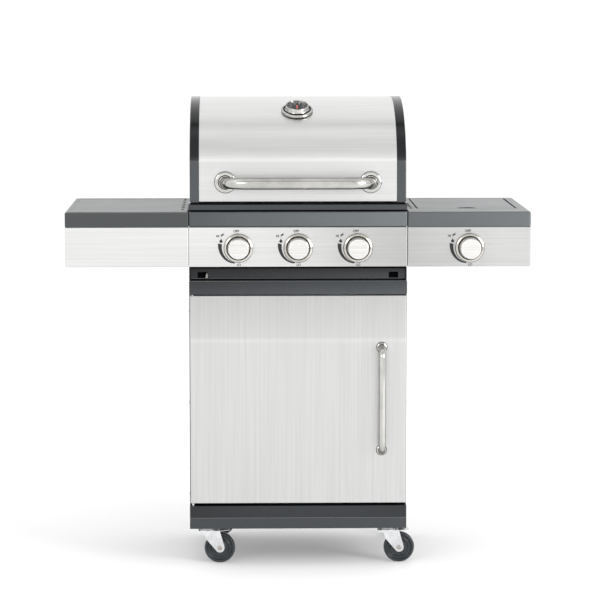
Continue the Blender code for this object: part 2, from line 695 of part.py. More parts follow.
# --- cabinet --------------------------------------------------------------------------------
def make_cabinet():
    base = pan((-BODY_HALF, FRONT, BASE_BOTTOM), (BODY_HALF, CABINET_BACK, BASE_TOP),
               "+Z", PLATE, 0.0015)
    lip = box((-BODY_HALF + 0.001, FRONT + 0.001, BASE_TOP - PLATE),
              (BODY_HALF - 0.001, FRONT + 0.024, BASE_TOP))
    slope = prism([(FRONT - 0.001, BASE_CREASE), (FRONT, BASE_CREASE),
                   (FRONT + 0.0012, BASE_TOP + 0.001), (FRONT - 0.001, BASE_TOP + 0.001)],
                  "X", -BODY_HALF - 0.01, BODY_HALF + 0.01)
    pin_x, pin_y = DOOR_PIN
    clearance = DOOR_PIN_RADIUS + 0.0005
    low_socket = rod((pin_x, pin_y, BASE_TOP - 0.02), (pin_x, pin_y, BASE_TOP + 0.01), clearance)
    add_part("base_shelf", cut(union(base, lip), slope, low_socket), "dark_paint")

    rail_z = 0.6895
    top = RIM_TOP - PLATE - GAP
    for side, word in ((-1, "left"), (1, "right")):
        outer = side * (BODY_HALF - GAP)
        inner = outer - side * PLATE
        outline = [
            (SIDE_FRONT, BASE_TOP + GAP),
            (CABINET_BACK, BASE_TOP + GAP),
            (CABINET_BACK, 0.8600),
            (TUB_BACK + 0.015, top),
            (TUB_FRONT, top),
            (TUB_FRONT, PANEL_BOTTOM),
            (SIDE_FRONT, PANEL_BOTTOM - GAP),
        ]
        wall = prism(outline, "X", inner, outer)
        low_x, high_x = sorted((inner + side * 0.001, side * 0.2250))
        runner = box((low_x, TUB_FRONT, rail_z - PLATE), (high_x, CABINET_BACK - 0.004, rail_z))
        add_part(f"cabinet_side_{word}", union(wall, runner), "dark_paint")

    inside = BODY_HALF - GAP - PLATE - GAP
    back = pan((-inside, CABINET_BACK - 0.012, BASE_TOP + GAP), (inside, CABINET_BACK, 0.6750),
               "-Y", SHEET, 0.001)
    add_part("cabinet_back", back, "black_paint")

    tray = pan((-0.2350, -0.1000, rail_z + GAP), (0.2350, CABINET_BACK - 0.008, 0.7120),
               "+Z", SHEET, 0.002)
    grip = box((-0.060, CABINET_BACK - 0.009, 0.7100), (0.060, CABINET_BACK + 0.006, 0.7120))
    add_part("grease_tray", union(tray, grip), "zinc")


def make_front():
    body = BODY_HALF - GAP
    front = FRONT + FRONT_SETBACK
    pin_x, pin_y = DOOR_PIN
    clearance = DOOR_PIN_RADIUS + 0.0005
    beam = pan((-body, front, BEAM_BOTTOM), (body, front + BEAM_DEPTH, BEAM_TOP),
               "+Y", PLATE, 0.0015)
    socket = rod((pin_x, pin_y, BEAM_BOTTOM - 0.01), (pin_x, pin_y, BEAM_BOTTOM + 0.01), clearance)
    add_part("front_beam", cut(beam, socket), "dark_paint")

    inside = BODY_HALF - GAP - PLATE - GAP
    cross_front = SIDE_FRONT + 0.010
    cross = pan((-inside, cross_front, BEAM_TOP + 0.0005),
                (inside, cross_front + 0.018, PANEL_BOTTOM - 0.001), "+Y", PLATE)
    windows = [box((x, cross_front - 0.01, 0.7040), (x + 0.0230, cross_front + 0.01, 0.7200))
               for x in (-0.2440, 0.2210)]
    add_part("cross_beam", cut(cross, *windows), "black_paint")

    half = 0.2622
    leaf = pan((-half, front, DOOR_BOTTOM), (half, front + DOOR_DEPTH, DOOR_TOP),
               "+Y", SHEET, 0.002)
    ears = [
        box((pin_x - 0.005, pin_y - 0.007, low), (pin_x + 0.008, pin_y + 0.007, high))
        for low, high in ((DOOR_BOTTOM + 0.0005, DOOR_BOTTOM + 0.004),
                          (DOOR_TOP - 0.004, DOOR_TOP - 0.0005))
    ]
    pins = [
        rod((pin_x, pin_y, BASE_TOP - 0.001), (pin_x, pin_y, DOOR_BOTTOM + 0.003),
            DOOR_PIN_RADIUS, 12),
        rod((pin_x, pin_y, DOOR_TOP - 0.003), (pin_x, pin_y, BEAM_BOTTOM + 0.001),
            DOOR_PIN_RADIUS, 12),
    ]
    add_part("door", union(leaf, *ears, *pins), "stainless")

    path = handle_path((0, 0, 1), (0, -1, 0), (DOOR_HANDLE_X, front, DOOR_HANDLE_LOW),
                       (DOOR_HANDLE_X, front, DOOR_HANDLE_HIGH), DOOR_HANDLE_STANDOFF,
                       DOOR_HANDLE_BEND)
    path[0].y -= GAP
    path[-1].y -= GAP
    bent_tube("door_handle", path, DOOR_HANDLE_RADIUS, "chrome")


# --- casters --------------------------------------------------------------------------------
def caster_plate():
    """Mounting plate with the round ball race below it; local origin on the swivel axis."""
    top = BASE_BOTTOM - GAP
    plate = box((-0.030, -0.030, top - 0.0025), (0.030, 0.030, top))
    race = turned([(0, FORK_TOP + GAP), (0.018, FORK_TOP + GAP), (0.0225, FORK_TOP + 0.0035),
                   (0.0225, top - 0.0010), (0, top - 0.0010)], 20)
    return union(plate, race)


def caster_fork():
    """Swivel fork: round head, bridge, two tapered legs and the riveted axle."""
    axle = (CASTER_TRAIL, AXLE_Z)
    outline = [
        (-0.0240, FORK_PLATE_TOP),
        (-0.0240, FORK_PLATE_TOP - 0.0055),
        (-0.0095, FORK_PLATE_TOP - 0.0055),
        (-0.0055, 0.0600),
        *arc(axle, 0.0115, -125, 12, 7),
        (CASTER_TRAIL, FORK_PLATE_TOP),
    ]
    legs = [prism(outline, "Y", side * LEG_INNER, side * LEG_OUTER) for side in (-1, 1)]
    bridge = box((-0.0240, -LEG_OUTER + 0.0005, FORK_PLATE_TOP - PLATE),
                 (0.0190, LEG_OUTER - 0.0005, FORK_PLATE_TOP - 0.0001))
    head = turned([(0, FORK_PLATE_TOP - 0.001), (0.0195, FORK_PLATE_TOP - 0.001),
                   (0.0195, FORK_TOP - 0.001), (0.0180, FORK_TOP), (0, FORK_TOP)], 20)
    pin = rod((axle[0], -LEG_OUTER - 0.002, axle[1]), (axle[0], LEG_OUTER + 0.002, axle[1]),
              AXLE_RADIUS, 12)
    return union(bridge, *legs, head, pin)


def caster_wheel():
    """Moulded wheel with a rounded tread, turned about its axle; a flat rests on the floor."""
    bore = AXLE_RADIUS + 0.0003
    tread = WHEEL_HALF - 0.0030
    profile = [
        (bore, -WHEEL_HALF - 0.0005), (0.0100, -WHEEL_HALF - 0.0005), (0.0120, -0.0060),
        (0.0290, -0.0060), (0.0320, -WHEEL_HALF), (0.0355, -WHEEL_HALF),
        (WHEEL_RADIUS, -tread), (WHEEL_RADIUS, tread),
        (0.0355, WHEEL_HALF), (0.0320, WHEEL_HALF), (0.0290, 0.0060),
        (0.0120, 0.0060), (0.0100, WHEEL_HALF + 0.0005), (bore, WHEEL_HALF + 0.0005),
    ]
    lay_down = Matrix.Rotation(math.pi / 2, 4, 'X')
    return turned(profile, WHEEL_SIDES, lay_down, ring=True, phase=math.pi / WHEEL_SIDES)


def brake_lever():
    """Foot lever between the fork's legs; local origin on its pivot."""
    tilt = Matrix.Rotation(math.radians(-8), 4, 'Y')
    tread = box((0, -0.0085, -0.0008), (0.0290, 0.0085, 0.0008))
    tread.transform(tilt)
    hub = rod((0, -LEG_INNER + GAP, 0), (0, LEG_INNER - GAP, 0), 0.0022, 10)
    return union(hub, tread)


def make_casters():
    plate = caster_plate()
    fork = caster_fork()
    wheel = caster_wheel()
    lever = brake_lever()
    corners = (
        ("front_left", -CASTER_X, CASTER_FRONT_Y),
        ("front_right", CASTER_X, CASTER_FRONT_Y),
        ("rear_left", -CASTER_X, CASTER_REAR_Y),
        ("rear_right", CASTER_X, CASTER_REAR_Y),
    )
    for word, x, y in corners:
        add_part(f"caster_plate_{word}", plate.copy(), "zinc", (x, y, 0))
        add_part(f"caster_fork_{word}", fork.copy(), "zinc", (x, y, 0))
        add_part(f"caster_wheel_{word}", wheel.copy(), "tyre", (x + CASTER_TRAIL, y, AXLE_Z))
        if word.startswith("front"):
            add_part(f"caster_brake_{word}", lever.copy(), "zinc", (x + 0.0245, y, 0.0775))


clear_scene()
make_lid()
make_thermometer()
make_firebox()
make_cooking_parts()
make_gas_parts()
make_knobs()
make_panels()
make_tables()
make_side_burner()
make_cabinet()
make_front()
make_casters()
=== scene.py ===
from math import cos, pi, radians, sin, tan, tau

import bmesh
import bpy
from mathutils import Matrix, Vector


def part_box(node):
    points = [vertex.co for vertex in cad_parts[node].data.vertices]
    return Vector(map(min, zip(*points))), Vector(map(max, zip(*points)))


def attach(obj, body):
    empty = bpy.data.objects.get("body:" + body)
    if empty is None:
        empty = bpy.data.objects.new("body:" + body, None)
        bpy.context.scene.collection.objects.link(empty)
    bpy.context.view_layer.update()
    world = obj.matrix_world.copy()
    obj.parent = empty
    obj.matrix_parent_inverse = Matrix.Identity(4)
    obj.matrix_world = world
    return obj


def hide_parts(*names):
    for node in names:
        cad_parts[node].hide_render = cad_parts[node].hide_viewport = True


# Looks of the gas barbecue grill: fine surfaces, finishes, studio light and camera.
# Units are metres, +Z is up, +X is the right-hand side seen from the front, and the
# front faces -Y.  Places come from the frame's own nodes.

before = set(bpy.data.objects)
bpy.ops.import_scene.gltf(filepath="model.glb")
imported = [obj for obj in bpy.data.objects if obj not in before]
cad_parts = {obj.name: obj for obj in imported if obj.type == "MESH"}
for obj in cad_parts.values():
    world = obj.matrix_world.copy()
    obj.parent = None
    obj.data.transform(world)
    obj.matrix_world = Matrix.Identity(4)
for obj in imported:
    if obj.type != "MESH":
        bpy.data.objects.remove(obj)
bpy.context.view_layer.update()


def low(node):
    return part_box(node)[0]


def high(node):
    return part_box(node)[1]


# --- driving dimensions, shared with the CAD model ---
GAP = 0.0003
SHEET = 0.0015
PLATE = 0.002
FRONT = low("control_panel").y
BODY_HALF = high("base_shelf").x
PANEL_TOP = high("control_panel").z
PANEL_LOW = low("control_panel").z
RECESS_LOW = high("front_beam").z
TABLE_TOP = high("left_table_top").z
RIM_TOP = high("firebox").z

LID_BOTTOM = low("lid_end_left").z
LID_FRONT = low("lid_end_left").y
LID_BACK = high("lid_end_left").y
LID_HALF = high("lid_end_right").x
LID_CAP_WIDTH = 0.0225
LID_CREASE = 0.9920
LID_TOP = high("lid_end_left").z
CREASE_SHARE = (LID_CREASE - LID_BOTTOM) / (LID_TOP - LID_BOTTOM)
LID_LEAN = 0.002
LID_ARC_DEPTH = 0.280
LID_ARC_RISE = 0.1725
LID_ARC_START = radians(9.24)
LID_REAR_RISE = 0.115
LID_SKIN_INSET = 0.001
HINGE_Y = 0.2320
HINGE_Z = 0.9020

KNOB_XS = (-0.1445, 0.0, 0.1445, 0.4155)
KNOB_Z = 0.7810
WELL_LEFT = 0.2920
WELL_RIGHT = 0.5390
WELL_FRONT = FRONT + 0.102
WELL_BACK = FRONT + 0.423
WELL_FLOOR = 0.8365
SIDE_LID_SEAM = 0.0036
SIDE_BURNER_X = 0.4155
SIDE_BURNER_Y = 0.0570
LEFT_SLOTS = (-0.2800, FRONT + 0.086, 0.0560, 7)    # x, first y, pitch, count
RIGHT_SLOTS = (0.2790, FRONT + 0.110, 0.0400, 5)
WINDOW_XS = (-0.2440, 0.2210)
CORNERS = ("front_left", "front_right", "rear_left", "rear_right")


# --- finishes ---
def finish(name, color, roughness, metallic=0.0, **constants):
    """Principled material; the constants are set on the shader's own sockets."""
    paint = bpy.data.materials.new(name)
    paint.use_nodes = True
    shader = paint.node_tree.nodes["Principled BSDF"]
    shader.inputs["Base Color"].default_value = (*color, 1)
    shader.inputs["Roughness"].default_value = roughness
    shader.inputs["Metallic"].default_value = metallic
    for socket, value in constants.items():
        shader.inputs[socket.replace("_", " ")].default_value = value
    return paint


def node(tree, kind, **constants):
    """Shader node; the constants are set on its own sockets."""
    item = tree.nodes.new(f"ShaderNode{kind}")
    for socket, value in constants.items():
        item.inputs[socket.replace("_", " ")].default_value = value
    return item


def grain(paint, across, detail=3.0, axis="X", along=None):
    """Noise in object space, that many lumps a metre; fewer along one axis make streaks."""
    tree = paint.node_tree
    scale = [across, across, across]
    if along:
        scale["XYZ".index(axis)] = along
    stretch = node(tree, "Mapping", Scale=scale)
    noise = node(tree, "TexNoise", Scale=1.0, Detail=detail)
    tree.links.new(node(tree, "TexCoord").outputs["Object"], stretch.inputs["Vector"])
    tree.links.new(stretch.outputs["Vector"], noise.inputs["Vector"])
    return noise.outputs["Fac"]


def tinted(paint, source, first, second):
    """Base colour runs between two tones with a noise."""
    tree = paint.node_tree
    ramp = node(tree, "ValToRGB")
    for point, position, tone in zip(ramp.color_ramp.elements, (0.35, 0.65), (first, second)):
        point.position = position
        point.color = (*tone, 1)
    tree.links.new(source, ramp.inputs["Fac"])
    tree.links.new(ramp.outputs["Color"], tree.nodes["Principled BSDF"].inputs["Base Color"])


def uneven(paint, source, least, most):
    """Roughness runs between two values with a noise."""
    tree = paint.node_tree
    span = node(tree, "MapRange", From_Min=0.3, From_Max=0.7, To_Min=least, To_Max=most)
    tree.links.new(source, span.inputs["Value"])
    tree.links.new(span.outputs["Result"], tree.nodes["Principled BSDF"].inputs["Roughness"])


def relief(paint, source, depth):
    """Bump of that depth in metres."""
    tree = paint.node_tree
    bump = node(tree, "Bump", Distance=depth)
    tree.links.new(source, bump.inputs["Height"])
    tree.links.new(bump.outputs["Normal"], tree.nodes["Principled BSDF"].inputs["Normal"])


def textured(paint, tones, gloss, tone_grain, gloss_grain, bump_grain, depth):
    """Tone, gloss and relief of a finish, each from a noise of its own."""
    tinted(paint, grain(paint, *tone_grain), *tones)
    uneven(paint, grain(paint, *gloss_grain), *gloss)
    relief(paint, grain(paint, *bump_grain), depth)
    return paint


def levels(tree, source, stops):
    """Grey level by a value, from (value, level) pairs."""
    ramp = node(tree, "ValToRGB")
    points = ramp.color_ramp.elements
    while len(points) < len(stops):
        points.new(0.5)
    for point, (position, level) in zip(points, stops):
        point.position = position
        point.color = (level, level, level, 1)
    tree.links.new(source, ramp.inputs["Fac"])
    return ramp.outputs["Color"]


def product(tree, first, second):
    """Product of two colours."""
    both = node(tree, "Mix")
    both.data_type = 'RGBA'
    both.blend_type = 'MULTIPLY'
    both.inputs[0].default_value = 1.0
    tree.links.new(first, both.inputs[6])
    tree.links.new(second, both.inputs[7])
    return both.outputs[2]


def painted_light_run(paint, axis, start, end, *shades):
    """Base colour times a run of painted light and shade along one axis of the piece."""
    tree = paint.node_tree
    color = tree.nodes["Principled BSDF"].inputs["Base Color"]
    parts = node(tree, "SeparateXYZ")
    span = node(tree, "MapRange", From_Min=start, From_Max=end)
    tree.links.new(node(tree, "TexCoord").outputs["Object"], parts.inputs["Vector"])
    tree.links.new(parts.outputs[axis], span.inputs["Value"])
    run = levels(tree, span.outputs["Result"], shades)
    tree.links.new(product(tree, color.links[0].from_socket, run), color)


def brushed(name, axis, first, second, least=0.33, most=0.41):
    """Brushed stainless steel with its lines along one axis."""
    paint = finish(name, first, least, 1.0)
    return textured(paint, (first, second), (least, most), (300.0, 4.0, axis, 3.0),
                    (14.0, 3.0, axis, 4.0), (900.0, 2.0, axis, 9.0), 0.00002)


def sprayed(name, first, second, metallic, least=0.30, most=0.40, coat=0.0):
    """Sprayed and baked paint: a little flake, soft clouds and orange peel."""
    paint = finish(name, first, least, metallic, Coat_Weight=coat, Coat_Roughness=0.25)
    return textured(paint, (first, second), (least, most), (2600.0, 2.0), (11.0, 4.0), (750.0, 2.0),
                    0.00002)


def plated(name, first, second, least, most):
    """Bright plated metal with faint smudges; it darkens towards grazing angles."""
    paint = finish(name, first, least, 1.0, Specular_Tint=(0.20, 0.20, 0.21, 1))
    return textured(paint, (first, second), (least, most), (22.0, 4.0), (55.0, 5.0), (160.0, 2.0),
                    0.000008)


def rough_cast(name, first, second, least, most, depth, metallic=0.0, size=420.0, **constants):
    """Cast or moulded surface with a visible grain."""
    paint = finish(name, first, least, metallic, **constants)
    return textured(paint, (first, second), (least, most), (38.0, 5.0), (90.0, 4.0), (size, 3.0), depth)


stainless = brushed("stainless", "X", (0.65, 0.65, 0.645), (0.70, 0.70, 0.693))
# the door's steel is brushed upright and a little darker; its run along Z below paints a highlight line and a
# shadow under the handle's upper foot, and darkens it towards the top
door_steel = brushed("door_steel", "Z", (0.56, 0.56, 0.555), (0.61, 0.61, 0.603))
# darker copy of the stainless: painted shade on the right table's front, with a run along X below
side_steel = brushed("side_steel", "X", (0.55, 0.55, 0.545), (0.60, 0.60, 0.593))
# lid and panel steel: copies of the stainless that carry runs of painted light and shade below
lid_steel = brushed("lid_steel", "X", (0.65, 0.65, 0.645), (0.70, 0.70, 0.693))
panel_steel = brushed("panel_steel", "X", (0.65, 0.65, 0.64), (0.70, 0.70, 0.69))
inner_steel = brushed("inner_steel", "X", (0.50, 0.50, 0.50), (0.60, 0.60, 0.60), 0.35, 0.45)
chrome = plated("chrome", (0.45, 0.445, 0.42), (0.55, 0.545, 0.52), 0.05, 0.10)
champagne = plated("champagne", (0.50, 0.48, 0.44), (0.60, 0.58, 0.54), 0.10, 0.18)
knob_metal = brushed("knob_metal", "X", (0.70, 0.69, 0.67), (0.80, 0.79, 0.77), 0.25, 0.33)
trim_paint = sprayed("trim_paint", (0.092, 0.101, 0.107), (0.132, 0.144, 0.152), 0.60, 0.28, 0.36)
# the caps' dark paint in two copies: the side faces' copy is painted darker as shade, the front faces' copy
# carries a painted reflection run below
painted_shade_cap_side = sprayed("painted_shade_cap_side", (0.020, 0.022, 0.023), (0.032, 0.034, 0.036), 0.70, 0.20, 0.28)
cap_paint = sprayed("cap_paint", (0.048, 0.052, 0.055), (0.074, 0.079, 0.083), 0.80, 0.15, 0.21)
graphite = sprayed("graphite", (0.042, 0.046, 0.050), (0.066, 0.071, 0.077), 0.65)
# copy of graphite for the front beam, carrying runs of painted light and shade below
beam_paint = sprayed("beam_paint", (0.042, 0.046, 0.050), (0.066, 0.071, 0.077), 0.65)
# lighter paint for the strips that paint highlights on the beams' edges and the base's crease
highlight_paint = sprayed("highlight_paint", (0.095, 0.100, 0.104), (0.125, 0.130, 0.134), 0.6, 0.26, 0.34)
# darker copy of graphite: painted shade on the base shelf above its crease
graphite_painted_shade = sprayed("graphite_painted_shade", (0.027, 0.030, 0.033), (0.043, 0.047, 0.051), 0.6)
# darker paint for the set-back cross beam: painted shade, with runs below that darken it under the control
# panel
painted_shade_recess = sprayed("painted_shade_recess", (0.022, 0.024, 0.026), (0.036, 0.039, 0.042), 0.4)
black_paint = sprayed("black_paint", (0.018, 0.018, 0.020), (0.032, 0.033, 0.036), 0.1, 0.38, 0.50)
table_paint = sprayed("table_paint", (0.108, 0.117, 0.122), (0.145, 0.156, 0.161), 0.5, 0.34, 0.38)
# darker copy of the table paint: painted shade on the left table, darkest on its front face
painted_shade_left_table = sprayed("painted_shade_left_table", (0.094, 0.101, 0.102), (0.129, 0.138, 0.139), 0.5, 0.34, 0.38)
enamel = sprayed("enamel", (0.010, 0.010, 0.011), (0.022, 0.022, 0.024), 0.0, 0.18, 0.30, 0.3)
cast_iron = rough_cast("cast_iron", (0.014, 0.014, 0.015), (0.034, 0.033, 0.032), 0.50, 0.68, 0.00025)
burner_steel = rough_cast("burner_steel", (0.40, 0.38, 0.35), (0.55, 0.54, 0.52), 0.32, 0.46, 0.00004, 1.0)
zinc = rough_cast("zinc", (0.62, 0.63, 0.64), (0.76, 0.77, 0.78), 0.22, 0.32, 0.00002, 1.0, 260.0)
brass = rough_cast("brass", (0.50, 0.36, 0.15), (0.66, 0.50, 0.24), 0.26, 0.40, 0.00003, 1.0)
tyre = rough_cast("tyre", (0.012, 0.016, 0.019), (0.022, 0.028, 0.032), 0.14, 0.24, 0.00002)
# dark grey for the rings that paint the shadow round the lid handle's feet
foot_shadow_grey = rough_cast("foot_shadow_grey", (0.050, 0.056, 0.062), (0.070, 0.078, 0.085), 0.38, 0.50, 0.00004)
black_plastic = rough_cast("black_plastic", (0.012, 0.012, 0.013), (0.022, 0.022, 0.023), 0.40, 0.52, 0.00005)
# non-reflecting black for the pieces that paint the shade in gaps, slots, seams and round feet
painted_shade_black = rough_cast(
    "painted_shade_black", (0.002, 0.002, 0.002), (0.005, 0.005, 0.005), 0.80, 0.92, 0.00005,
    Specular_IOR_Level=0.05)
dial_face = rough_cast(
    "dial_face", (0.004, 0.004, 0.005), (0.010, 0.011, 0.012), 0.55, 0.65, 0.00001,
    Specular_IOR_Level=0.2)
marking = rough_cast("marking", (0.012, 0.012, 0.013), (0.022, 0.022, 0.023), 0.55, 0.65, 0.00001)
white_print = rough_cast("white_print", (0.72, 0.72, 0.70), (0.82, 0.82, 0.80), 0.45, 0.55, 0.00001)
needle_red = rough_cast("needle_red", (0.62, 0.07, 0.03), (0.74, 0.12, 0.05), 0.30, 0.40, 0.00001)
dial_glass = finish("dial_glass", (0.9, 0.95, 0.95), 0.03, 0.0, Alpha=0.04, IOR=1.12)
uneven(dial_glass, grain(dial_glass, 70.0, 4.0), 0.02, 0.10)
tinted(dial_glass, grain(dial_glass, 30.0), (0.85, 0.9, 0.9), (0.95, 0.97, 0.97))

# runs of light that the photo's studio leaves on the panels and painted edges
# painted highlight along the lid's crease, with the band below it painted darker
painted_light_run(lid_steel, "Z", LID_BOTTOM, LID_TOP,
       (0.0, 0.93), (CREASE_SHARE - 0.03, 0.92), (CREASE_SHARE - 0.008, 1.00),
       (CREASE_SHARE + 0.012, 1.02), (CREASE_SHARE + 0.03, 0.97), (0.75, 0.96), (0.82, 1.0), (1.0, 1.0))
# painted shade darkening the control panel towards its right end
painted_light_run(panel_steel, "X", -BODY_HALF, BODY_HALF,
       (0.0, 0.99), (0.45, 0.95), (0.65, 0.83), (0.82, 0.73), (1.0, 0.66))
painted_light_run(side_steel, "X", BODY_HALF, high("right_table_top").x,
       (0.0, 0.78), (0.4, 0.87), (0.75, 0.95), (1.0, 0.95))
# painted reflection on the caps' fronts: lighter below the crease, dark above it
painted_light_run(cap_paint, "Z", LID_BOTTOM, LID_TOP,
       (0.0, 1.50), (CREASE_SHARE - 0.01, 1.40), (CREASE_SHARE + 0.01, 0.46), (1.0, 0.18))
painted_light_run(beam_paint, "Z", low("front_beam").z, high("front_beam").z, (0.0, 1.45), (1.0, 0.85))
painted_light_run(beam_paint, "X", -BODY_HALF, BODY_HALF, (0.0, 0.60), (0.6, 0.90), (1.0, 1.0))
painted_light_run(trim_paint, "X", -BODY_HALF, BODY_HALF, (0.0, 0.66), (0.25, 0.86), (0.6, 1.08), (1.0, 1.36))
painted_light_run(door_steel, "Z", low("door").z, high("door").z,
       (0.0, 0.99), (0.77, 0.99), (0.785, 1.06), (0.80, 0.94), (1.0, 0.83))
painted_light_run(graphite, "X", -BODY_HALF, BODY_HALF, (0.0, 1.0), (0.6, 1.0), (1.0, 1.12))
painted_light_run(graphite_painted_shade, "X", -BODY_HALF, BODY_HALF, (0.0, 0.70), (0.35, 0.96), (0.7, 1.0), (1.0, 0.86))
painted_light_run(painted_shade_recess, "X", -BODY_HALF, BODY_HALF, (0.0, 0.45), (0.25, 0.60), (0.6, 0.90), (1.0, 1.25))
# painted shade under the control panel: the cross beam darkens towards its top
painted_light_run(painted_shade_recess, "Z", RECESS_LOW, PANEL_LOW, (0.0, 2.0), (0.35, 1.3), (0.8, 0.45), (1.0, 0.10))
painted_light_run(painted_shade_left_table, "Z", TABLE_TOP - 0.0036, TABLE_TOP - 0.0014, (0.0, 0.56), (1.0, 0.98))
painted_light_run(table_paint, "Z", TABLE_TOP - 0.0036, TABLE_TOP - 0.0014, (0.0, 0.93), (1.0, 0.97))
painted_light_run(table_paint, "X", BODY_HALF, high("right_table_top").x, (0.0, 0.86), (0.5, 0.98), (1.0, 1.12))


# --- mesh tools ---
def mesh_from(work, name="fine"):
    bmesh.ops.recalc_face_normals(work, faces=work.faces)
    mesh = bpy.data.meshes.new(name)
    work.to_mesh(mesh)
    work.free()
    return mesh


def smooth(mesh, angle=32):
    mesh.shade_smooth()
    mesh.set_sharp_from_angle(angle=radians(angle))
    return mesh


def bevelled(work, edges, offset, segments):
    bmesh.ops.bevel(work, geom=edges, offset=offset, segments=segments, profile=0.5, affect='EDGES')


def box(low_corner, high_corner, rounding=0.0, segments=3):
    """Box with rounded edges."""
    work = bmesh.new()
    bmesh.ops.create_cube(work, size=1)
    low_corner = Vector(low_corner)
    high_corner = Vector(high_corner)
    bmesh.ops.scale(work, vec=high_corner - low_corner, verts=work.verts)
    bmesh.ops.translate(work, vec=(low_corner + high_corner) / 2, verts=work.verts)
    if rounding:
        bevelled(work, work.edges[:], rounding, segments)
    return mesh_from(work)


def bar(half, y_low, y_high, z_low, z_high, rounding=0.0003, segments=2):
    """Rounded bar across the grill's middle."""
    return box((-half, y_low, z_low), (half, y_high, z_high), rounding, segments)


def prism(outline, axis, start, end):
    """Extrude a closed outline along X from (y, z), or along Z from (x, y)."""
    work = bmesh.new()
    rings = [[work.verts.new((along, u, v) if axis == "X" else (u, v, along)) for u, v in outline]
             for along in (start, end)]
    work.faces.new(rings[0])
    work.faces.new(rings[1])
    count = len(outline)
    for index in range(count):
        after = (index + 1) % count
        work.faces.new((rings[0][index], rings[0][after], rings[1][after], rings[1][index]))
    return mesh_from(work)


def filleted(points, radius, steps=4, closed=False):
    """Line of points with a short smooth bend at each corner."""
    result = []
    last = len(points) - 1
    for index, point in enumerate(points):
        here = Vector(point)
        if not closed and index in (0, last):
            result.append(tuple(here))
            continue
        before = Vector(points[index - 1]) - here
        after = Vector(points[(index + 1) % len(points)]) - here
        start = here + before.normalized() * min(radius, before.length * 0.45)
        end = here + after.normalized() * min(radius, after.length * 0.45)
        for step in range(steps + 1):
            along = step / steps
            result.append(tuple(
                start * (1 - along) ** 2 + here * 2 * along * (1 - along) + end * along ** 2))
    return result


def turned(profile, sides=72, matrix=Matrix.Identity(4)):
    """Turn a (radius, height) profile about local Z, then place it with a matrix."""
    work = bmesh.new()
    verts = [work.verts.new((radius, 0, height)) for radius, height in profile]
    edges = [work.edges.new(pair) for pair in zip(verts, verts[1:])]
    bmesh.ops.spin(work, geom=verts + edges, cent=(0, 0, 0), axis=(0, 0, 1), angle=tau,
                   steps=sides, use_merge=True)
    bmesh.ops.remove_doubles(work, verts=work.verts, dist=1e-6)
    bmesh.ops.transform(work, matrix=matrix, verts=work.verts)
    return smooth(mesh_from(work))


def rod(start, end, radius, sides=32, rounding=0.0):
    """Straight round bar between two points."""
    run = Vector(end) - Vector(start)
    profile = [(0, 0), (radius, 0), (radius, run.length), (0, run.length)]
    if rounding:
        profile = filleted(profile, rounding)
    return turned(profile, sides, pointing(start, run))


def evaluated(item):
    """Mesh of an object with its modifiers applied; the object is removed."""
    graph = bpy.context.evaluated_depsgraph_get()
    mesh = bpy.data.meshes.new_from_object(item.evaluated_get(graph))
    bpy.data.objects.remove(item)
    return mesh


def shown(data, name="working"):
    """New object in the scene."""
    item = bpy.data.objects.new(name, data)
    bpy.context.scene.collection.objects.link(item)
    return item


def tube(points, radius, resolution=6):
    """Round tube along a line of points."""
    curve = bpy.data.curves.new("line", 'CURVE')
    curve.dimensions = '3D'
    curve.bevel_depth = radius
    curve.bevel_resolution = resolution
    curve.use_fill_caps = True
    line = curve.splines.new('POLY')
    line.points.add(len(points) - 1)
    for point, place in zip(line.points, points):
        point.co = (*place, 1)
    mesh = evaluated(shown(curve))
    return smooth(mesh, 50)


def combine(base, operation, tools):
    body = shown(base)
    helpers = [shown(tool) for tool in tools]
    for helper in helpers:
        step = body.modifiers.new("step", 'BOOLEAN')
        step.operation = operation
        step.object = helper
    mesh = evaluated(body)
    for item in helpers:
        bpy.data.objects.remove(item)
    return mesh


def union(base, *tools):
    return combine(base, 'UNION', tools)


def cut(base, *tools):
    return combine(base, 'DIFFERENCE', tools)


def joined(*meshes):
    """Several meshes as one, without merging them."""
    work = bmesh.new()
    for mesh in meshes:
        work.from_mesh(mesh)
    result = bpy.data.meshes.new("joined")
    work.to_mesh(result)
    work.free()
    return result


def pan(low_corner, high_corner, open_side, wall, rounding, segments=4):
    """Sheet-metal pan: a box hollowed from one side, its other edges rounded."""
    axis = "XYZ".index(open_side[1])
    sign = 1 if open_side[0] == "+" else -1
    low_corner = Vector(low_corner)
    high_corner = Vector(high_corner)
    mouth = high_corner[axis] if sign > 0 else low_corner[axis]
    work = bmesh.new()
    work.from_mesh(box(low_corner, high_corner))
    edges = [edge for edge in work.edges
             if any(abs(vert.co[axis] - mouth) > 1e-6 for vert in edge.verts)]
    bevelled(work, edges, rounding, segments)
    margin = Vector((wall, wall, wall))
    hollow_low = low_corner + margin
    hollow_high = high_corner - margin
    if sign > 0:
        hollow_high[axis] = high_corner[axis] + 0.01
    else:
        hollow_low[axis] = low_corner[axis] - 0.01
    return cut(mesh_from(work), box(hollow_low, hollow_high))


def piece(name, mesh, paint, body, slot, *nodes):
    """Put a finished mesh in the scene, on its body, in place of the nodes it stands for."""
    mesh.materials.clear()
    mesh.materials.append(paint)
    item = shown(mesh, name)
    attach(item, body)
    if nodes:
        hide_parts(*nodes)
    return item


def dark(name, mesh, body="root"):
    """Non-reflecting black filler that paints the shade behind a gap, slot or foot."""
    return piece(name, mesh, painted_shade_black, body, "black_paint")


def flat_faces(item):
    """Keep flat faces flat next to their rounded edges."""
    even = item.modifiers.new("even", 'WEIGHTED_NORMAL')
    even.keep_sharp = True
    return item


def stand_in(node, mesh, paint, slot, body="root"):
    """Fine version of one CAD node."""
    return flat_faces(piece(f"{node}.fine", smooth(mesh), paint, body, slot, node))


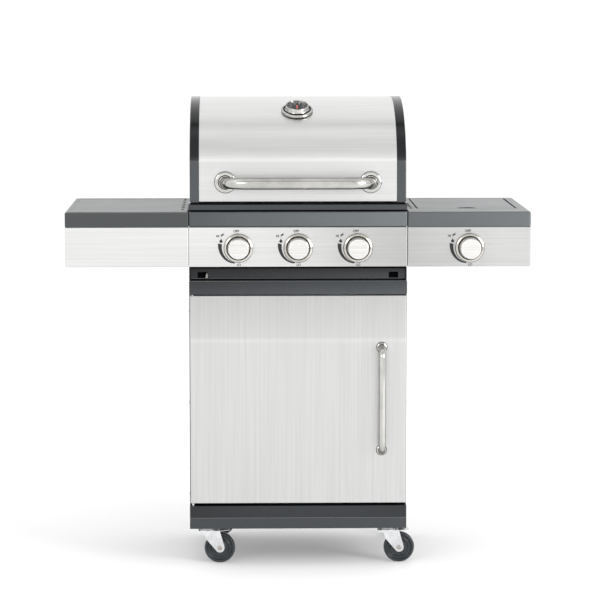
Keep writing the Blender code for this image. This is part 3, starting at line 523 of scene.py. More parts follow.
def softened(node, paint, slot, width=0.0005, body="root", segments=3):
    """The CAD node's own shape with its edges rounded over."""
    work = bmesh.new()
    work.from_mesh(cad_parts[node].data)
    bmesh.ops.remove_doubles(work, verts=work.verts, dist=1e-5)
    bmesh.ops.dissolve_limit(
        work, angle_limit=radians(0.8), verts=work.verts, edges=work.edges)
    mesh = mesh_from(work)
    item = piece(f"{node}.fine", smooth(mesh, 35), paint, body, slot, node)
    edge = item.modifiers.new("edges", 'BEVEL')
    edge.width = width
    edge.segments = segments
    edge.limit_method = 'ANGLE'
    edge.angle_limit = radians(35)
    return flat_faces(item)


def hexagon(radius, start, end, rounding=0.0004):
    """Hexagonal nut along local Z with softened corners."""
    outline = [(radius * cos(pi / 3 * step), radius * sin(pi / 3 * step)) for step in range(6)]
    work = bmesh.new()
    work.from_mesh(prism(outline, "Z", start, end))
    bevelled(work, work.edges[:], rounding, 2)
    return smooth(mesh_from(work))


def pointing(place, direction):
    """Frame at a place with local Z along a direction."""
    turn = Vector(direction).to_track_quat('Z', 'Y').to_matrix().to_4x4()
    return Matrix.Translation(place) @ turn


def port(place, direction, radius, sides):
    """Dark dot of a burner's gas port."""
    return turned([(0, 0.0004), (radius, 0.0004), (radius + 0.0001, 0)], sides, pointing(place, direction))


def screw(place, direction, radius=0.0042):
    """Domed screw head with a round driver recess."""
    profile = filleted([
        (0, 0.0008), (radius * 0.35, 0.0008), (radius * 0.45, 0.0019), (radius * 0.75, 0.0017),
        (radius, 0.0006), (radius, 0)], 0.0004)
    return turned(profile, 24, pointing(place, direction))


# --- lid ---
def lid_arc_centre():
    return (LID_FRONT + LID_LEAN + LID_ARC_DEPTH * cos(LID_ARC_START),
            LID_CREASE - LID_ARC_RISE * sin(LID_ARC_START))


def lid_outline(inset, lift=0.0, front_steps=56, rear_steps=30):
    """Lid shell from the front lower edge, over the top, to the rear lower edge."""
    centre_y, centre_z = lid_arc_centre()
    points = [(LID_FRONT + inset, LID_BOTTOM + lift)]
    for step in range(front_steps + 1):
        angle = LID_ARC_START + (pi / 2 - LID_ARC_START) * step / front_steps
        points.append((centre_y - (LID_ARC_DEPTH - inset) * cos(angle),
                       centre_z + (LID_ARC_RISE - inset) * sin(angle)))
    rear_depth = LID_BACK - centre_y
    shoulder = centre_z + LID_ARC_RISE - LID_REAR_RISE
    for step in range(1, rear_steps + 1):
        angle = pi / 2 * (1 - step / rear_steps)
        points.append((centre_y + (rear_depth - inset) * cos(angle),
                       shoulder + (LID_REAR_RISE - inset) * sin(angle)))
    points.append((LID_BACK - inset, LID_BOTTOM + lift))
    return points


def creased(line, soft):
    """The lid's line with the fold at the top of the lower band worked as a soft bend."""
    bend = filleted(line[0:3], soft, 6)
    return [*bend[:-1], *line[2:]]


def make_lid_skin():
    end = LID_HALF - LID_CAP_WIDTH - GAP
    outer = creased(lid_outline(LID_SKIN_INSET), 0.0035)
    inner = creased(lid_outline(LID_SKIN_INSET + SHEET), 0.0035)
    hem = LID_BOTTOM + 0.0024
    outer[0] = (outer[0][0] + 0.0004, hem - 0.0003)
    inner[0] = (inner[0][0] - 0.0004, hem - 0.0003)
    shell = prism([*outer, *reversed(inner)], "X", -end, end)
    stand_in("lid_skin", smooth(shell, 24), lid_steel, "stainless", "lid")
    roll_y = LID_FRONT + LID_SKIN_INSET + SHEET + 0.0012
    roll = tube([(-end + 0.001, roll_y, LID_BOTTOM + 0.0041), (end - 0.001, roll_y, LID_BOTTOM + 0.0041)],
                0.0018)
    piece("lid_front_hem", roll, stainless, "lid", "stainless")


def lid_cap(side):
    """Pressed end cap: rounded outer rim and a shallow recessed field."""
    inner_x = side * (LID_HALF - LID_CAP_WIDTH)
    outer_x = side * LID_HALF
    rounding = 0.003
    steps = 5
    rings = [(0.0, inner_x)]
    for step in range(steps + 1):
        turn = pi / 2 * step / steps
        rings.append((rounding * (1 - cos(turn)),
                      outer_x - side * rounding * (1 - sin(turn))))
    field = 0.0012
    for inset, drop in ((0.0160, 0.0), (0.0166, 0.0001), (0.0190, field - 0.0001), (0.0200, field)):
        rings.append((inset, outer_x - side * drop))
    work = bmesh.new()
    loops = []
    for inset, x in rings:
        line = creased(lid_outline(inset, inset, 40, 24), 0.0035)
        loops.append([work.verts.new((x, y, z)) for y, z in line])
    count = len(loops[0])
    for near, far in zip(loops, loops[1:]):
        for index in range(count):
            after = (index + 1) % count
            work.faces.new((near[index], near[after], far[after], far[index]))
    work.faces.new(loops[0])
    work.faces.new(loops[-1])
    solid = mesh_from(work)
    rim = 0.0024
    hollow_line = lid_outline(rim, 0, 40, 24)
    front_low = (hollow_line[0][0], LID_BOTTOM - 0.02)
    rear_low = (hollow_line[-1][0], LID_BOTTOM - 0.02)
    hollow = prism([front_low, *hollow_line[1:-1], rear_low], "X",
                   inner_x - side * 0.02, outer_x - side * PLATE)
    hole = rod((inner_x, HINGE_Y, HINGE_Z), (outer_x + side * 0.01, HINGE_Y, HINGE_Z), 0.0045)
    return cut(solid, hollow, hole)


def handle_path(across, out, start, end, standoff, bend_across, steps=22):
    """U-shaped grip: out from start, a quarter-ellipse bend, across, and back in to end."""
    across = Vector(across)
    out = Vector(out)
    start = Vector(start)
    end = Vector(end)
    neck = 0.2 * standoff
    bend = []
    for step in range(steps + 1):
        turn = pi / 2 * step / steps
        bend.append((bend_across * (1 - cos(turn)),
                     neck + (standoff - neck) * sin(turn)))
    rise = [start + across * along + out * away for along, away in bend]
    fall = [end - across * along + out * away for along, away in reversed(bend)]
    return [start, *rise, *fall, end]


def bezel(place, direction, disc, collar, height):
    """Stepped round foot of a handle."""
    profile = filleted([
        (0, height), (collar - 0.0010, height), (collar, height - 0.0012), (collar, 0.0038),
        (disc - 0.0035, 0.0034), (disc - 0.0006, 0.0022), (disc, 0.0006), (disc, 0)],
        0.0007)
    return turned(profile, 72, pointing(place, direction))


def make_lid_handle():
    reach = (high("lid_handle").x + low("lid_handle").x) / 2
    half = high("lid_handle").x - reach - 0.0140
    radius = 0.0140
    face_y = LID_FRONT + LID_SKIN_INSET
    z = (low("lid_handle").z + high("lid_handle").z) / 2
    standoff = face_y - low("lid_handle").y - radius
    path = handle_path((1, 0, 0), (0, -1, 0), (-half, face_y - GAP, z), (half, face_y - GAP, z),
                       standoff, 0.070)
    piece("lid_handle.fine", tube(path, radius, 10), chrome, "lid", "chrome", "lid_handle")
    for side, word in ((-1, "left"), (1, "right")):
        place = Vector((side * half, face_y - 0.0002, z))
        foot = bezel(place, (0, -1, 0), 0.0260, 0.0158, 0.0095)
        piece(f"lid_handle_foot_{word}", foot, chrome, "lid", "chrome")
        # dark ring round the foot paints its shadow on the lid
        shadow = turned(filleted([(0, 0.0006), (0.0266, 0.0006), (0.0267, 0)], 0.0002), 72,
                        pointing(place, (0, -1, 0)))
        piece(f"lid_handle_foot_shadow_{word}", shadow, foot_shadow_grey, "lid", "black_paint")
        # black ring at the collar paints the shade there
        seat = turned(filleted([(0.0150, 0.0034), (0.0150, 0.0050), (0.0172, 0.0044),
                                (0.0178, 0.0034), (0.0150, 0.0034)], 0.0003), 72,
                      pointing(place, (0, -1, 0)))
        dark(f"lid_handle_collar_shade_{word}", seat, "lid")


def make_lid():
    make_lid_skin()
    for side, word in ((-1, "left"), (1, "right")):
        cap = lid_cap(side)
        shell = stand_in(f"lid_end_{word}", cap, cap_paint, "dark_paint", "lid")
        # side faces take the copy painted darker as shade; the front faces keep the painted reflection
        shell.data.materials.append(painted_shade_cap_side)
        for face in shell.data.polygons:
            if abs(face.normal.x) > 0.75:
                face.material_index = 1
        softened(f"lid_hinge_{word}", zinc, "zinc", 0.0004)
    make_lid_handle()


# --- thermometer ---
def dial_place():
    """Frame of the dial: on the lid's curve, with local Z along the curve's normal."""
    arc_place = radians(55.0)
    centre_y, centre_z = lid_arc_centre()
    depth = LID_ARC_DEPTH - LID_SKIN_INSET
    rise = LID_ARC_RISE - LID_SKIN_INSET
    point = Vector((0, centre_y - depth * cos(arc_place),
                    centre_z + rise * sin(arc_place)))
    normal = Vector((0, -cos(arc_place) / depth, sin(arc_place) / rise)).normalized()
    tilt = Vector((0, 0, 1)).rotation_difference(normal).to_matrix().to_4x4()
    return Matrix.Translation(point) @ tilt


def lettering(text, size, matrix, depth=0.0001, weight=0.0):
    """Printed characters, flat on local XY, centred."""
    font = bpy.data.curves.new("print", 'FONT')
    font.body = text
    font.size = size
    font.align_x = 'CENTER'
    font.align_y = 'CENTER'
    font.extrude = depth
    font.offset = size * weight
    font.resolution_u = 6
    mesh = evaluated(shown(font))
    mesh.transform(matrix)
    return mesh


def make_thermometer():
    place = dial_place()
    floor = 0.0130
    housing = filleted([
        (0, 0.0006), (0.0385, 0.0006), (0.0385, 0.0050), (0.0372, 0.0062), (0.0318, 0.0072),
        (0.0300, 0.0100), (0.0286, 0.0165), (0.0276, 0.0180), (0.0260, 0.0180),
        (0.0250, 0.0168), (0.0246, floor), (0, floor)], 0.0009, 4)
    piece("thermometer.fine", turned(housing, 96, place), chrome, "lid", "chrome", "thermometer")
    # black ring that paints the shade in the groove round the housing
    groove = turned(filleted([(0.0306, 0.0068), (0.0304, 0.0088), (0.0330, 0.0076), (0.0342, 0.0067),
                              (0.0306, 0.0068)], 0.0002), 72, place)
    dark("thermometer_shade_ring", groove, "lid")
    plate = turned(filleted([(0, 0.0002), (0.0241, 0.0002), (0.0243, 0)], 0.0001), 72,
                   place @ Matrix.Translation((0, 0, floor)))
    piece("dial_plate", plate, dial_face, "lid", "dial_face")
    marks = []
    dial = place @ Matrix.Translation((0, 0, floor))
    ticks = 14
    for tick in range(ticks + 1):
        angle = radians(-135 + 270 * tick / ticks)
        long_tick = tick % 2 == 0
        turn = Matrix.Rotation(-angle, 4, 'Z')
        length = 0.0034 if long_tick else 0.0020
        width = 0.0004 if long_tick else 0.0002
        mark = box((-width, 0.0225 - length, 0.0002), (width, 0.0225, 0.0003))
        mark.transform(dial @ turn)
        marks.append(mark)
        if long_tick:
            spot = turn @ Vector((0, 0.0162, 0))
            marks.append(lettering(str(50 * (tick // 2 + 1)), 0.0032,
                                   dial @ Matrix.Translation((spot.x, spot.y, 0.00025)), 0.00004))
    piece("dial_scale", joined(*marks), white_print, "lid", "marking")
    hub = floor + GAP
    blade = prism(filleted([(-0.0013, 0.0058), (0.0013, 0.0058), (0.0009, -0.012),
                            (0.0, -0.0190), (-0.0009, -0.012)], 0.0006, 3, True),
                  "Z", 0.0003, 0.0009)
    boss = turned(filleted([(0, 0), (0.0028, 0), (0.0028, 0.0010), (0.0019, 0.0017), (0, 0.0019)],
                           0.0004), 40)
    needle = joined(blade, boss)
    needle.transform(place @ Matrix.Translation((0, 0, hub)))
    piece("needle.fine", smooth(needle), needle_red, "needle", "needle_red", "thermometer_needle")
    dome = turned([(0.0241 * cos(radians(a)), 0.0160 + 0.0016 * sin(radians(a)))
                   for a in range(0, 91, 9)], 72, place)
    piece("dial_glass", dome, dial_glass, "lid", "dial_glass")


# --- knobs ---
def knob_body():
    profile = filleted([
        (0.0043, 0.0165), (0.0120, 0.0165), (0.0225, 0.0067), (0.0252, 0.0065), (0.0264, 0.0080),
        (0.0264, 0.0125), (0.0251, 0.0300), (0.0248, 0.0332), (0.0236, 0.0347),
        (0.0226, 0.0350), (0.0, 0.0350)], 0.0007, 4)
    return [*profile, (0, 0.0263), (0.0043, 0.0263), profile[0]]


def knob_bezel():
    """Dished ring fixed to the panel round the knob."""
    profile = filleted([
        (0.0068, 0.0003), (0.0068, 0.0012), (0.0275, 0.0012), (0.0279, 0.0052), (0.0300, 0.0068),
        (0.0340, 0.0050), (0.0356, 0.0022), (0.0358, 0.0003)], 0.0009, 4)
    return [*profile, profile[0]]


def crescent():
    """Tapered arc of the flow scale, thick at the high end."""
    steps = 40
    outer = []
    inner = []
    for step in range(steps + 1):
        along = step / steps
        angle = radians(166.5 + 90 * along)
        far = 0.0505 - 0.0122 * along
        near = 0.0408 - 0.0052 * along
        outer.append((far * cos(angle), far * sin(angle)))
        inner.append((near * cos(angle), near * sin(angle)))
    return outer + inner[::-1]


def flame():
    """Outline of a small flame."""
    return filleted([(0.0006, 0.0060), (0.0018, 0.0018), (0.0041, -0.0006), (0.0034, -0.0042),
                     (0.0, -0.0052), (-0.0036, -0.0040), (-0.0040, -0.0002), (-0.0016, 0.0020)],
                    0.0014, 3, True)


def spark():
    """Outline of a lightning bolt."""
    return [(0.0056, 0.0060), (-0.0048, -0.0010), (-0.0014, -0.0018), (-0.0050, -0.0062),
            (0.0052, 0.0012), (0.0016, 0.0020)]


def make_knobs():
    for number, x in enumerate(KNOB_XS, 1):
        front = Matrix.Translation((x, FRONT, KNOB_Z)) @ Matrix.Rotation(pi / 2, 4, 'X')
        knob = turned(knob_body(), 96, front)
        piece(f"knob_{number}.fine", knob, knob_metal, f"knob_{number}", "knob_silver",
              f"knob_{number}")
        ring = turned(knob_bezel(), 96, front)
        piece(f"bezel_{number}", ring, champagne, "root", "chrome")
        stem = rod((x, high(f"knob_stem_{number}").y, KNOB_Z), (x, low(f"knob_stem_{number}").y, KNOB_Z),
                   0.0040, 32, 0.0005)
        piece(f"knob_stem_{number}.fine", stem, zinc, f"stem_{number}", "zinc",
              f"knob_stem_{number}")
        skin = Matrix.Translation((0, 0, 0.0002))
        marks = [prism(crescent(), "Z", 0.0001, 0.0003)]
        for outline, across, up in ((flame(), -0.0420, 0.0180), (spark(), -0.0390, 0.0320)):
            mark = prism(outline, "Z", 0.0001, 0.0003)
            mark.transform(Matrix.Translation((across, up, 0)))
            marks.append(mark)
        for mark in marks:
            mark.transform(front)
        for text, size, across, up in (("OFF", 0.0080, -0.005, 0.041), ("HI", 0.0078, -0.050, 0.0290),
                                       ("LO", 0.0076, 0.001, -0.0408)):
            marks.append(lettering(text, size, front @ skin @ Matrix.Translation((across, up, 0)),
                                   weight=0.035))
        piece(f"dial_marks_{number}", joined(*marks), marking, "root", "marking")


# --- panels and tables ---
def stem_hole(x):
    return rod((x, FRONT - 0.01, KNOB_Z), (x, FRONT + 0.012, KNOB_Z), 0.0065)


def make_panels():
    for node, paint, slot, wall, rounding, holes in (
            ("control_panel", panel_steel, "stainless", SHEET, 0.0022, KNOB_XS[:3]),
            ("left_table_front", stainless, "stainless", SHEET, 0.0022, ()),
            ("right_table_front", side_steel, "stainless", SHEET, 0.0022, KNOB_XS[3:]),
            ("panel_trim", trim_paint, "dark_paint", PLATE, 0.0040, ())):
        shape = pan(low(node), high(node), "+Y", wall, rounding, 5)
        if holes:
            shape = cut(shape, *[stem_hole(x) for x in holes])
        stand_in(node, shape, paint, slot)


def slots(row, half_width, half_length, bottom, top, rounding, segments):
    """Boxes along a table's row of slots."""
    x, first_y, pitch, count = row
    return [box((x - half_width, first_y + pitch * index - half_length, bottom),
                (x + half_width, first_y + pitch * index + half_length, top), rounding, segments)
            for index in range(count)]


def slot_cutters(row):
    return slots(row, 0.0042, 0.0115, TABLE_TOP - 0.01, TABLE_TOP + 0.01, 0.0035, 4)


def make_table_tops():
    rounding = 0.0045
    border = 0.012
    corner = low("left_table_top")
    far_corner = high("left_table_top")
    field = box((corner.x + border, corner.y + border, TABLE_TOP - 0.0008),
                (far_corner.x - border, far_corner.y - border, TABLE_TOP + 0.01), 0.0003, 2)
    top = pan(corner, far_corner, "-Z", PLATE, rounding, 5)
    stand_in("left_table_top", cut(top, field, *slot_cutters(LEFT_SLOTS)), painted_shade_left_table, "dark_paint")

    corner = Vector((low("right_table_front").x, FRONT, PANEL_TOP + GAP))
    top = pan(corner, high("right_table_top"), "-Z", PLATE, rounding, 5)
    sink = box((WELL_LEFT - PLATE, WELL_FRONT - PLATE, WELL_FLOOR - PLATE),
               (WELL_RIGHT + PLATE, WELL_BACK + PLATE, TABLE_TOP - PLATE / 2), 0.0008)
    well = box((WELL_LEFT, WELL_FRONT, WELL_FLOOR), (WELL_RIGHT, WELL_BACK, TABLE_TOP + 0.01))
    throat = rod((SIDE_BURNER_X, SIDE_BURNER_Y, WELL_FLOOR - 0.01),
                 (SIDE_BURNER_X, SIDE_BURNER_Y, WELL_FLOOR + 0.01), 0.0105)
    top = cut(union(top, sink), well, throat, *slot_cutters(RIGHT_SLOTS))
    stand_in("right_table_top", top, table_paint, "dark_paint")


def make_table_gaps():
    """Non-reflecting black fillers that paint the shade in the slots and round the side burner's lid."""
    fillers = []
    for row, start, end, depth in ((LEFT_SLOTS, 0.070, 0.440, 0.0011), (RIGHT_SLOTS, 0.095, 0.290, 0.0003)):
        x = row[0]
        top = TABLE_TOP - depth
        fillers.append(box((x - 0.0045, FRONT + start, TABLE_TOP - PLATE - 0.0016),
                           (x + 0.0045, FRONT + end, TABLE_TOP - PLATE - 0.0004), 0.0003, 2))
        fillers += slots(row, 0.0039, 0.0112, top - 0.0020, top, 0.0004, 2)
    dark("slot_shades", joined(*fillers))
    dark("notch_bumper_shade", box((SIDE_BURNER_X - 0.032, WELL_FRONT + GAP, TABLE_TOP - 0.0128),
                           (SIDE_BURNER_X + 0.032, WELL_FRONT + 0.0100, TABLE_TOP - 0.0108), 0.0008))
    width = SIDE_LID_SEAM - 0.0004
    strips = [box((x, WELL_FRONT + 0.004, TABLE_TOP - 0.0095),
                  (x + width, WELL_BACK - 0.012, TABLE_TOP - 0.0005), 0.0003, 2)
              for x in (WELL_LEFT + 0.0001, WELL_RIGHT - 0.0001 - width)]
    dark("well_seam_shades", joined(*strips))


def make_side_lid():
    margin = 0.0023
    front = WELL_FRONT + margin
    back = WELL_BACK - margin
    bottom = low("side_burner_lid").z
    half_width = 0.0240
    reach = 0.0280
    turns = [pi * step / 40 for step in range(41)]

    def rim(grow):
        return [(SIDE_BURNER_X + (half_width + grow) * cos(turn),
                 front + 0.0004 + (reach + grow) * sin(turn)) for turn in turns]

    mouth = [(SIDE_BURNER_X + side * half_width, front - 0.01) for side in (-1, 1)]
    notch = prism([*rim(0.0), *mouth], "Z", TABLE_TOP - 0.02, TABLE_TOP + 0.02)
    # black wall round the notch paints the shade on its far edge
    wall = prism([*rim(0.0003), *reversed(rim(0.0016))], "Z", bottom + 0.0005, TABLE_TOP - SHEET - 0.0002)
    dark("notch_shade_wall", wall, "side_lid")
    shape = pan((WELL_LEFT + SIDE_LID_SEAM, front, bottom), (WELL_RIGHT - SIDE_LID_SEAM, back, TABLE_TOP),
                "-Z", SHEET, 0.0018, 4)
    pins = [rod((x - 0.0028, back - 0.004, TABLE_TOP - 0.004), (x + 0.0028, back - 0.004, TABLE_TOP - 0.004),
                0.0015, 16) for x in (WELL_LEFT + 0.0013, WELL_RIGHT - 0.0013)]
    stand_in("side_burner_lid", union(cut(shape, notch), *pins), table_paint, "dark_paint", "side_lid")


def make_side_burner():
    profile = filleted([
        (0, -0.052), (0.0095, -0.052), (0.0095, GAP), (0.030, GAP), (0.036, 0.006),
        (0.036, 0.0125), (0.034, 0.0145), (0.020, 0.0145), (0.018, 0.0135), (0, 0.0135)], 0.001)
    head = turned(profile, 64, Matrix.Translation((SIDE_BURNER_X, SIDE_BURNER_Y, WELL_FLOOR)))
    tube_z = KNOB_Z + 0.010
    feed = rod((SIDE_BURNER_X, SIDE_BURNER_Y, tube_z),
               (SIDE_BURNER_X, FRONT + 0.071, tube_z), 0.009, 28)
    ports = []
    for index in range(28):
        turn = Matrix.Rotation(tau * index / 28, 4, 'Z')
        direction = turn @ Vector((1, 0, 0))
        spot = Vector((SIDE_BURNER_X, SIDE_BURNER_Y, WELL_FLOOR + 0.0095)) + direction * 0.0358
        ports.append(port(spot, direction, 0.0011, 10))
    stand_in("side_burner", joined(head, feed), cast_iron, "cast_iron")
    piece("side_burner_ports", joined(*ports), black_plastic, "root", "black_paint")
    softened("side_burner_grate", cast_iron, "cast_iron", 0.0010)
    softened("side_burner_valve", brass, "brass", 0.0006)
    softened("gas_manifold", brass, "brass", 0.0006)


# --- firebox ---
def make_firebox():
    softened("firebox", enamel, "enamel", 0.0006)
    half = high("firebox").x
    face = low("firebox").y
    rail_bottom = 0.8727
    rail = bar(half, face - 0.0010, face - 0.0001, rail_bottom, RIM_TOP - 0.0036, 0.0004, 3)
    # black strips paint the shade behind the trim and in the gap under the lid's front
    shade = bar(half, FRONT + 0.0205, FRONT + 0.0215, 0.8550, rail_bottom - 0.0005)
    cleft = bar(half - 0.004, face - 0.0006, face + 0.0004, RIM_TOP - 0.0040, RIM_TOP + 0.0012)
    dark("rail_shade", joined(shade, cleft))
    flat_faces(piece("firebox_rail", smooth(rail), graphite, "root", "dark_paint"))
    for word in ("left", "right"):
        softened(f"cooking_grate_{word}", cast_iron, "cast_iron", 0.0016)
    for number in (1, 2, 3):
        softened(f"heat_tent_{number}", burner_steel, "enamel", 0.0004)
        node = f"burner_{number}"
        start = low(node)
        end = high(node)
        x = (start.x + end.x) / 2
        z = (start.z + end.z) / 2
        back = pointing((x, start.y, z), (0, 1, 0))
        length = end.y - start.y
        profile = filleted([(0, 0), (0.009, 0), (0.009, 0.035), (0.0125, 0.055),
                            (0.0125, length - 0.002), (0.0105, length), (0, length)], 0.0015)
        stand_in(node, turned(profile, 40, back), burner_steel, "burner_steel")
        ports = []
        for side in (-1, 1):
            for index in range(22):
                direction = Vector((side, 0, 0.35)).normalized()
                spot = Vector((x, start.y + 0.066 + index * 0.0104, z)) + direction * 0.0124
                ports.append(port(spot, direction, 0.0010, 8))
        piece(f"burner_ports_{number}", joined(*ports), black_plastic, "root", "black_paint")
    make_warming_rack()


def make_warming_rack():
    start = low("warming_rack")
    end = high("warming_rack")
    wire = 0.002
    z = 0.9570
    half = 0.2340
    wires = []
    count = 37
    for index in range(count):
        x = -half + 2 * half * index / (count - 1)
        wires.append(tube([(x, 0.0965, z), (x, 0.1835, z)], 0.0014, 3))
    for y in (0.0970, 0.1400, 0.1830):
        wires.append(tube([(-half, y, z - 0.0012), (half, y, z - 0.0012)], wire, 4))
    foot = start.z + 0.0004
    for side in (-1, 1):
        outer = side * (end.x - wire)
        for y in (0.102, 0.178):
            corner = filleted([(side * half, y, z - 0.0012), (outer, y, z - 0.0012), (outer, y, foot)],
                              0.006, 6)
            wires.append(tube(corner, wire, 4))
    piece("warming_rack.fine", joined(*wires), chrome, "root", "chrome", "warming_rack")


# --- cabinet ---
def make_cabinet():
    base_low = low("base_shelf")
    base_high = high("base_shelf")
    crease = 0.1183
    step = 0.0013
    half = BODY_HALF - 0.001
    shape = pan((base_low.x, base_low.y + step, base_low.z), base_high, "+Z", PLATE, 0.0020, 4)
    lip = bar(half, FRONT + step + 0.001, FRONT + 0.024, base_high.z - PLATE, base_high.z, 0.0006)
    stand_in("base_shelf", union(shape, lip), graphite_painted_shade, "dark_paint")
    kick = bar(BODY_HALF, base_low.y, FRONT + step + 0.0003, base_low.z, crease, 0.0008, 4)
    flat_faces(piece("base_kick", smooth(kick), graphite, "root", "dark_paint"))
    # lighter strip along the crease paints its highlight
    edge = bar(half, FRONT + 0.0004, FRONT + step + 0.0004, crease - 0.0004, crease + 0.0016, 0.0005, 3)
    piece("base_crease_highlight", edge, highlight_paint, "root", "dark_paint")

    for word in ("left", "right"):
        softened(f"cabinet_side_{word}", graphite, "dark_paint", 0.0006)

    back_low = low("cabinet_back")
    back_high = high("cabinet_back")
    shape = pan(back_low, back_high, "-Y", SHEET, 0.0020, 4)
    vents = []
    for row in range(6):
        for column in (-1, 0, 1):
            x = column * 0.120
            z = back_high.z - 0.060 - row * 0.016
            vents.append(box((x - 0.040, back_high.y - 0.01, z), (x + 0.040, back_high.y + 0.01, z + 0.005),
                             0.0024, 4))
    stand_in("cabinet_back", cut(shape, *vents), black_paint, "black_paint")

    tray_low = low("grease_tray")
    tray_high = high("grease_tray")
    grip_depth = 0.014
    tray = pan(tray_low, (tray_high.x, tray_high.y - grip_depth, tray_high.z), "+Z", SHEET, 0.0030, 5)
    grip = box((-0.060, tray_high.y - grip_depth - 0.001, tray_high.z - PLATE),
               (0.060, tray_high.y, tray_high.z), 0.0009)
    stand_in("grease_tray", union(tray, grip), inner_steel, "zinc", "tray")


def make_beams():
    """Front beam and the set-back cross beam above it, with its two windows."""
    beam_low = low("front_beam")
    beam_high = high("front_beam")
    stand_in("front_beam", pan(beam_low, beam_high, "+Y", PLATE, 0.0030, 5), beam_paint, "dark_paint")
    # lighter strip along the beam's top edge paints its highlight
    edge = bar(beam_high.x - 0.002, beam_low.y + 0.0006, beam_low.y + 0.0030, beam_high.z - 0.0021,
               beam_high.z + 0.0001, 0.0008, 3)
    piece("front_beam_highlight", edge, highlight_paint, "root", "dark_paint")

    cross_low = low("cross_beam")
    cross_high = high("cross_beam")
    face = cross_low.y
    sill = 0.7040
    windows = [box((x, face - 0.01, sill), (x + 0.0230, face + 0.01, sill + 0.0160), 0.0015)
               for x in WINDOW_XS]
    cross = pan(cross_low, cross_high, "+Y", PLATE, 0.0008, 2)
    stand_in("cross_beam", cut(cross, *windows), painted_shade_recess, "black_paint")
    fall = tan(radians(6.5))    # the photo looks down at this angle
    lip_z = beam_high.z + 0.0062 - (face - beam_low.y) * fall
    under_z = PANEL_LOW - (face - FRONT) * fall
    half = cross_high.x - 0.001
    # lighter strip at the cross beam's foot paints a highlight
    lip = bar(half, face - 0.0010, face - 0.0002, lip_z, lip_z + 0.0016)
    piece("cross_beam_highlight", lip, highlight_paint, "root", "dark_paint")
    # black pieces paint the shade behind the windows, below the highlight strip and under the control panel
    shades = [box((x - 0.002, face + 0.0095, sill - 0.0005),
                  (x + 0.025, face + 0.0105, sill + 0.0185), 0.0003) for x in WINDOW_XS]
    shades.append(bar(half, face - 0.0008, face - 0.0002, lip_z - 0.0052, lip_z - 0.0008))
    shades.append(bar(half, face - 0.0008, face - 0.0002, under_z - 0.0030,
                      min(under_z + 0.0020, cross_high.z - 0.001)))
    dark("window_shades", joined(*shades))
    hook = tube(filleted([(-0.2215, face + 0.003, 0.7170), (-0.2215, face - 0.004, 0.7175),
                          (-0.2235, face - 0.006, 0.7060), (-0.2205, face - 0.006, 0.7060),
                          (-0.2200, face - 0.003, 0.7140)], 0.002, 5), 0.0008, 4)
    piece("spring_clip", hook, burner_steel, "root", "zinc")


def make_door():
    door_low = low("door")
    door_high = high("door")
    leaf_low = 0.1548
    leaf_high = 0.6653
    leaf = pan((door_low.x, door_low.y, leaf_low), (door_high.x, door_high.y, leaf_high), "+Y",
               SHEET, 0.0024, 5)
    stand_in("door", leaf, door_steel, "door_steel", "door")
    x = -0.2560
    y = FRONT + 0.011
    pins = [rod((x, y, door_low.z), (x, y, leaf_low + 0.0042), 0.003, 24, 0.0006),
            rod((x, y, leaf_high - 0.0043), (x, y, door_high.z), 0.003, 24, 0.0006)]
    ears = [box((x - 0.005, y - 0.007, z), (x + 0.008, y + 0.007, z + 0.0035), 0.0006)
            for z in (leaf_low + 0.0005, leaf_high - 0.0040)]
    piece("door_pins", joined(*pins, *ears), zinc, "door", "zinc")


def make_door_handle():
    radius = 0.0087
    face = low("door").y
    grip_low = low("door_handle")
    grip_high = high("door_handle")
    x = (grip_low.x + grip_high.x) / 2
    ends = (grip_low.z + radius, grip_high.z - radius)
    path = handle_path((0, 0, 1), (0, -1, 0), (x, face - GAP, ends[0]), (x, face - GAP, ends[1]),
                       face - grip_low.y - radius, 0.022)
    piece("door_handle.fine", tube(path, radius, 9), chrome, "door", "chrome", "door_handle")
    for word, z in zip(("low", "high"), ends):
        place = (x, face - 0.0002, z)
        foot = bezel(place, (0, -1, 0), 0.0125, 0.0098, 0.0052)
        piece(f"door_handle_foot_{word}", foot, chrome, "door", "chrome")
        # black ring round the foot paints its shadow on the door
        ring = turned(filleted([(0, 0.0005), (0.0132, 0.0005), (0.0134, 0)], 0.0002), 64,
                      pointing(place, (0, -1, 0)))
        dark(f"door_handle_foot_shadow_{word}", ring, "door")


def make_fasteners():
    """Screws on the cabinet's sides and back."""
    side_screws = []
    for side in (-1, 1):
        face = side * (BODY_HALF - GAP)
        for y in (low("cabinet_side_left").y + 0.012, high("cabinet_side_left").y - 0.012):
            for z in (0.175, 0.400, 0.625):
                side_screws.append(screw((face, y, z), (side, 0, 0)))
    back = high("cabinet_back").y
    back_screws = [screw((x, back, z), (0, 1, 0))
                   for x in (-0.240, 0.0, 0.240) for z in (0.165, 0.660)]
    piece("cabinet_screws", joined(*side_screws, *back_screws), zinc, "root", "zinc")


# --- casters ---
def wheel_mesh(place):
    bore = 0.0043
    half = 0.0100
    radius = 0.0377
    side = [(bore, half + 0.0005), (0.0085, half + 0.0005), (0.0098, 0.0068), (0.0125, 0.0062),
            (0.0140, 0.0050), (0.0205, 0.0050), (0.0222, 0.0068), (0.0240, 0.0068),
            (0.0256, 0.0052), (0.0292, 0.0060), (0.0312, half - 0.0004), (0.0330, half),
            (0.0352, half - 0.0002), (radius, half - 0.0042)]
    profile = filleted([(reach, -up) for reach, up in side] + side[::-1], 0.0009, 3)
    lay_down = Matrix.Rotation(pi / 2, 4, 'X')
    return turned([*profile, profile[0]], 96, place @ lay_down)


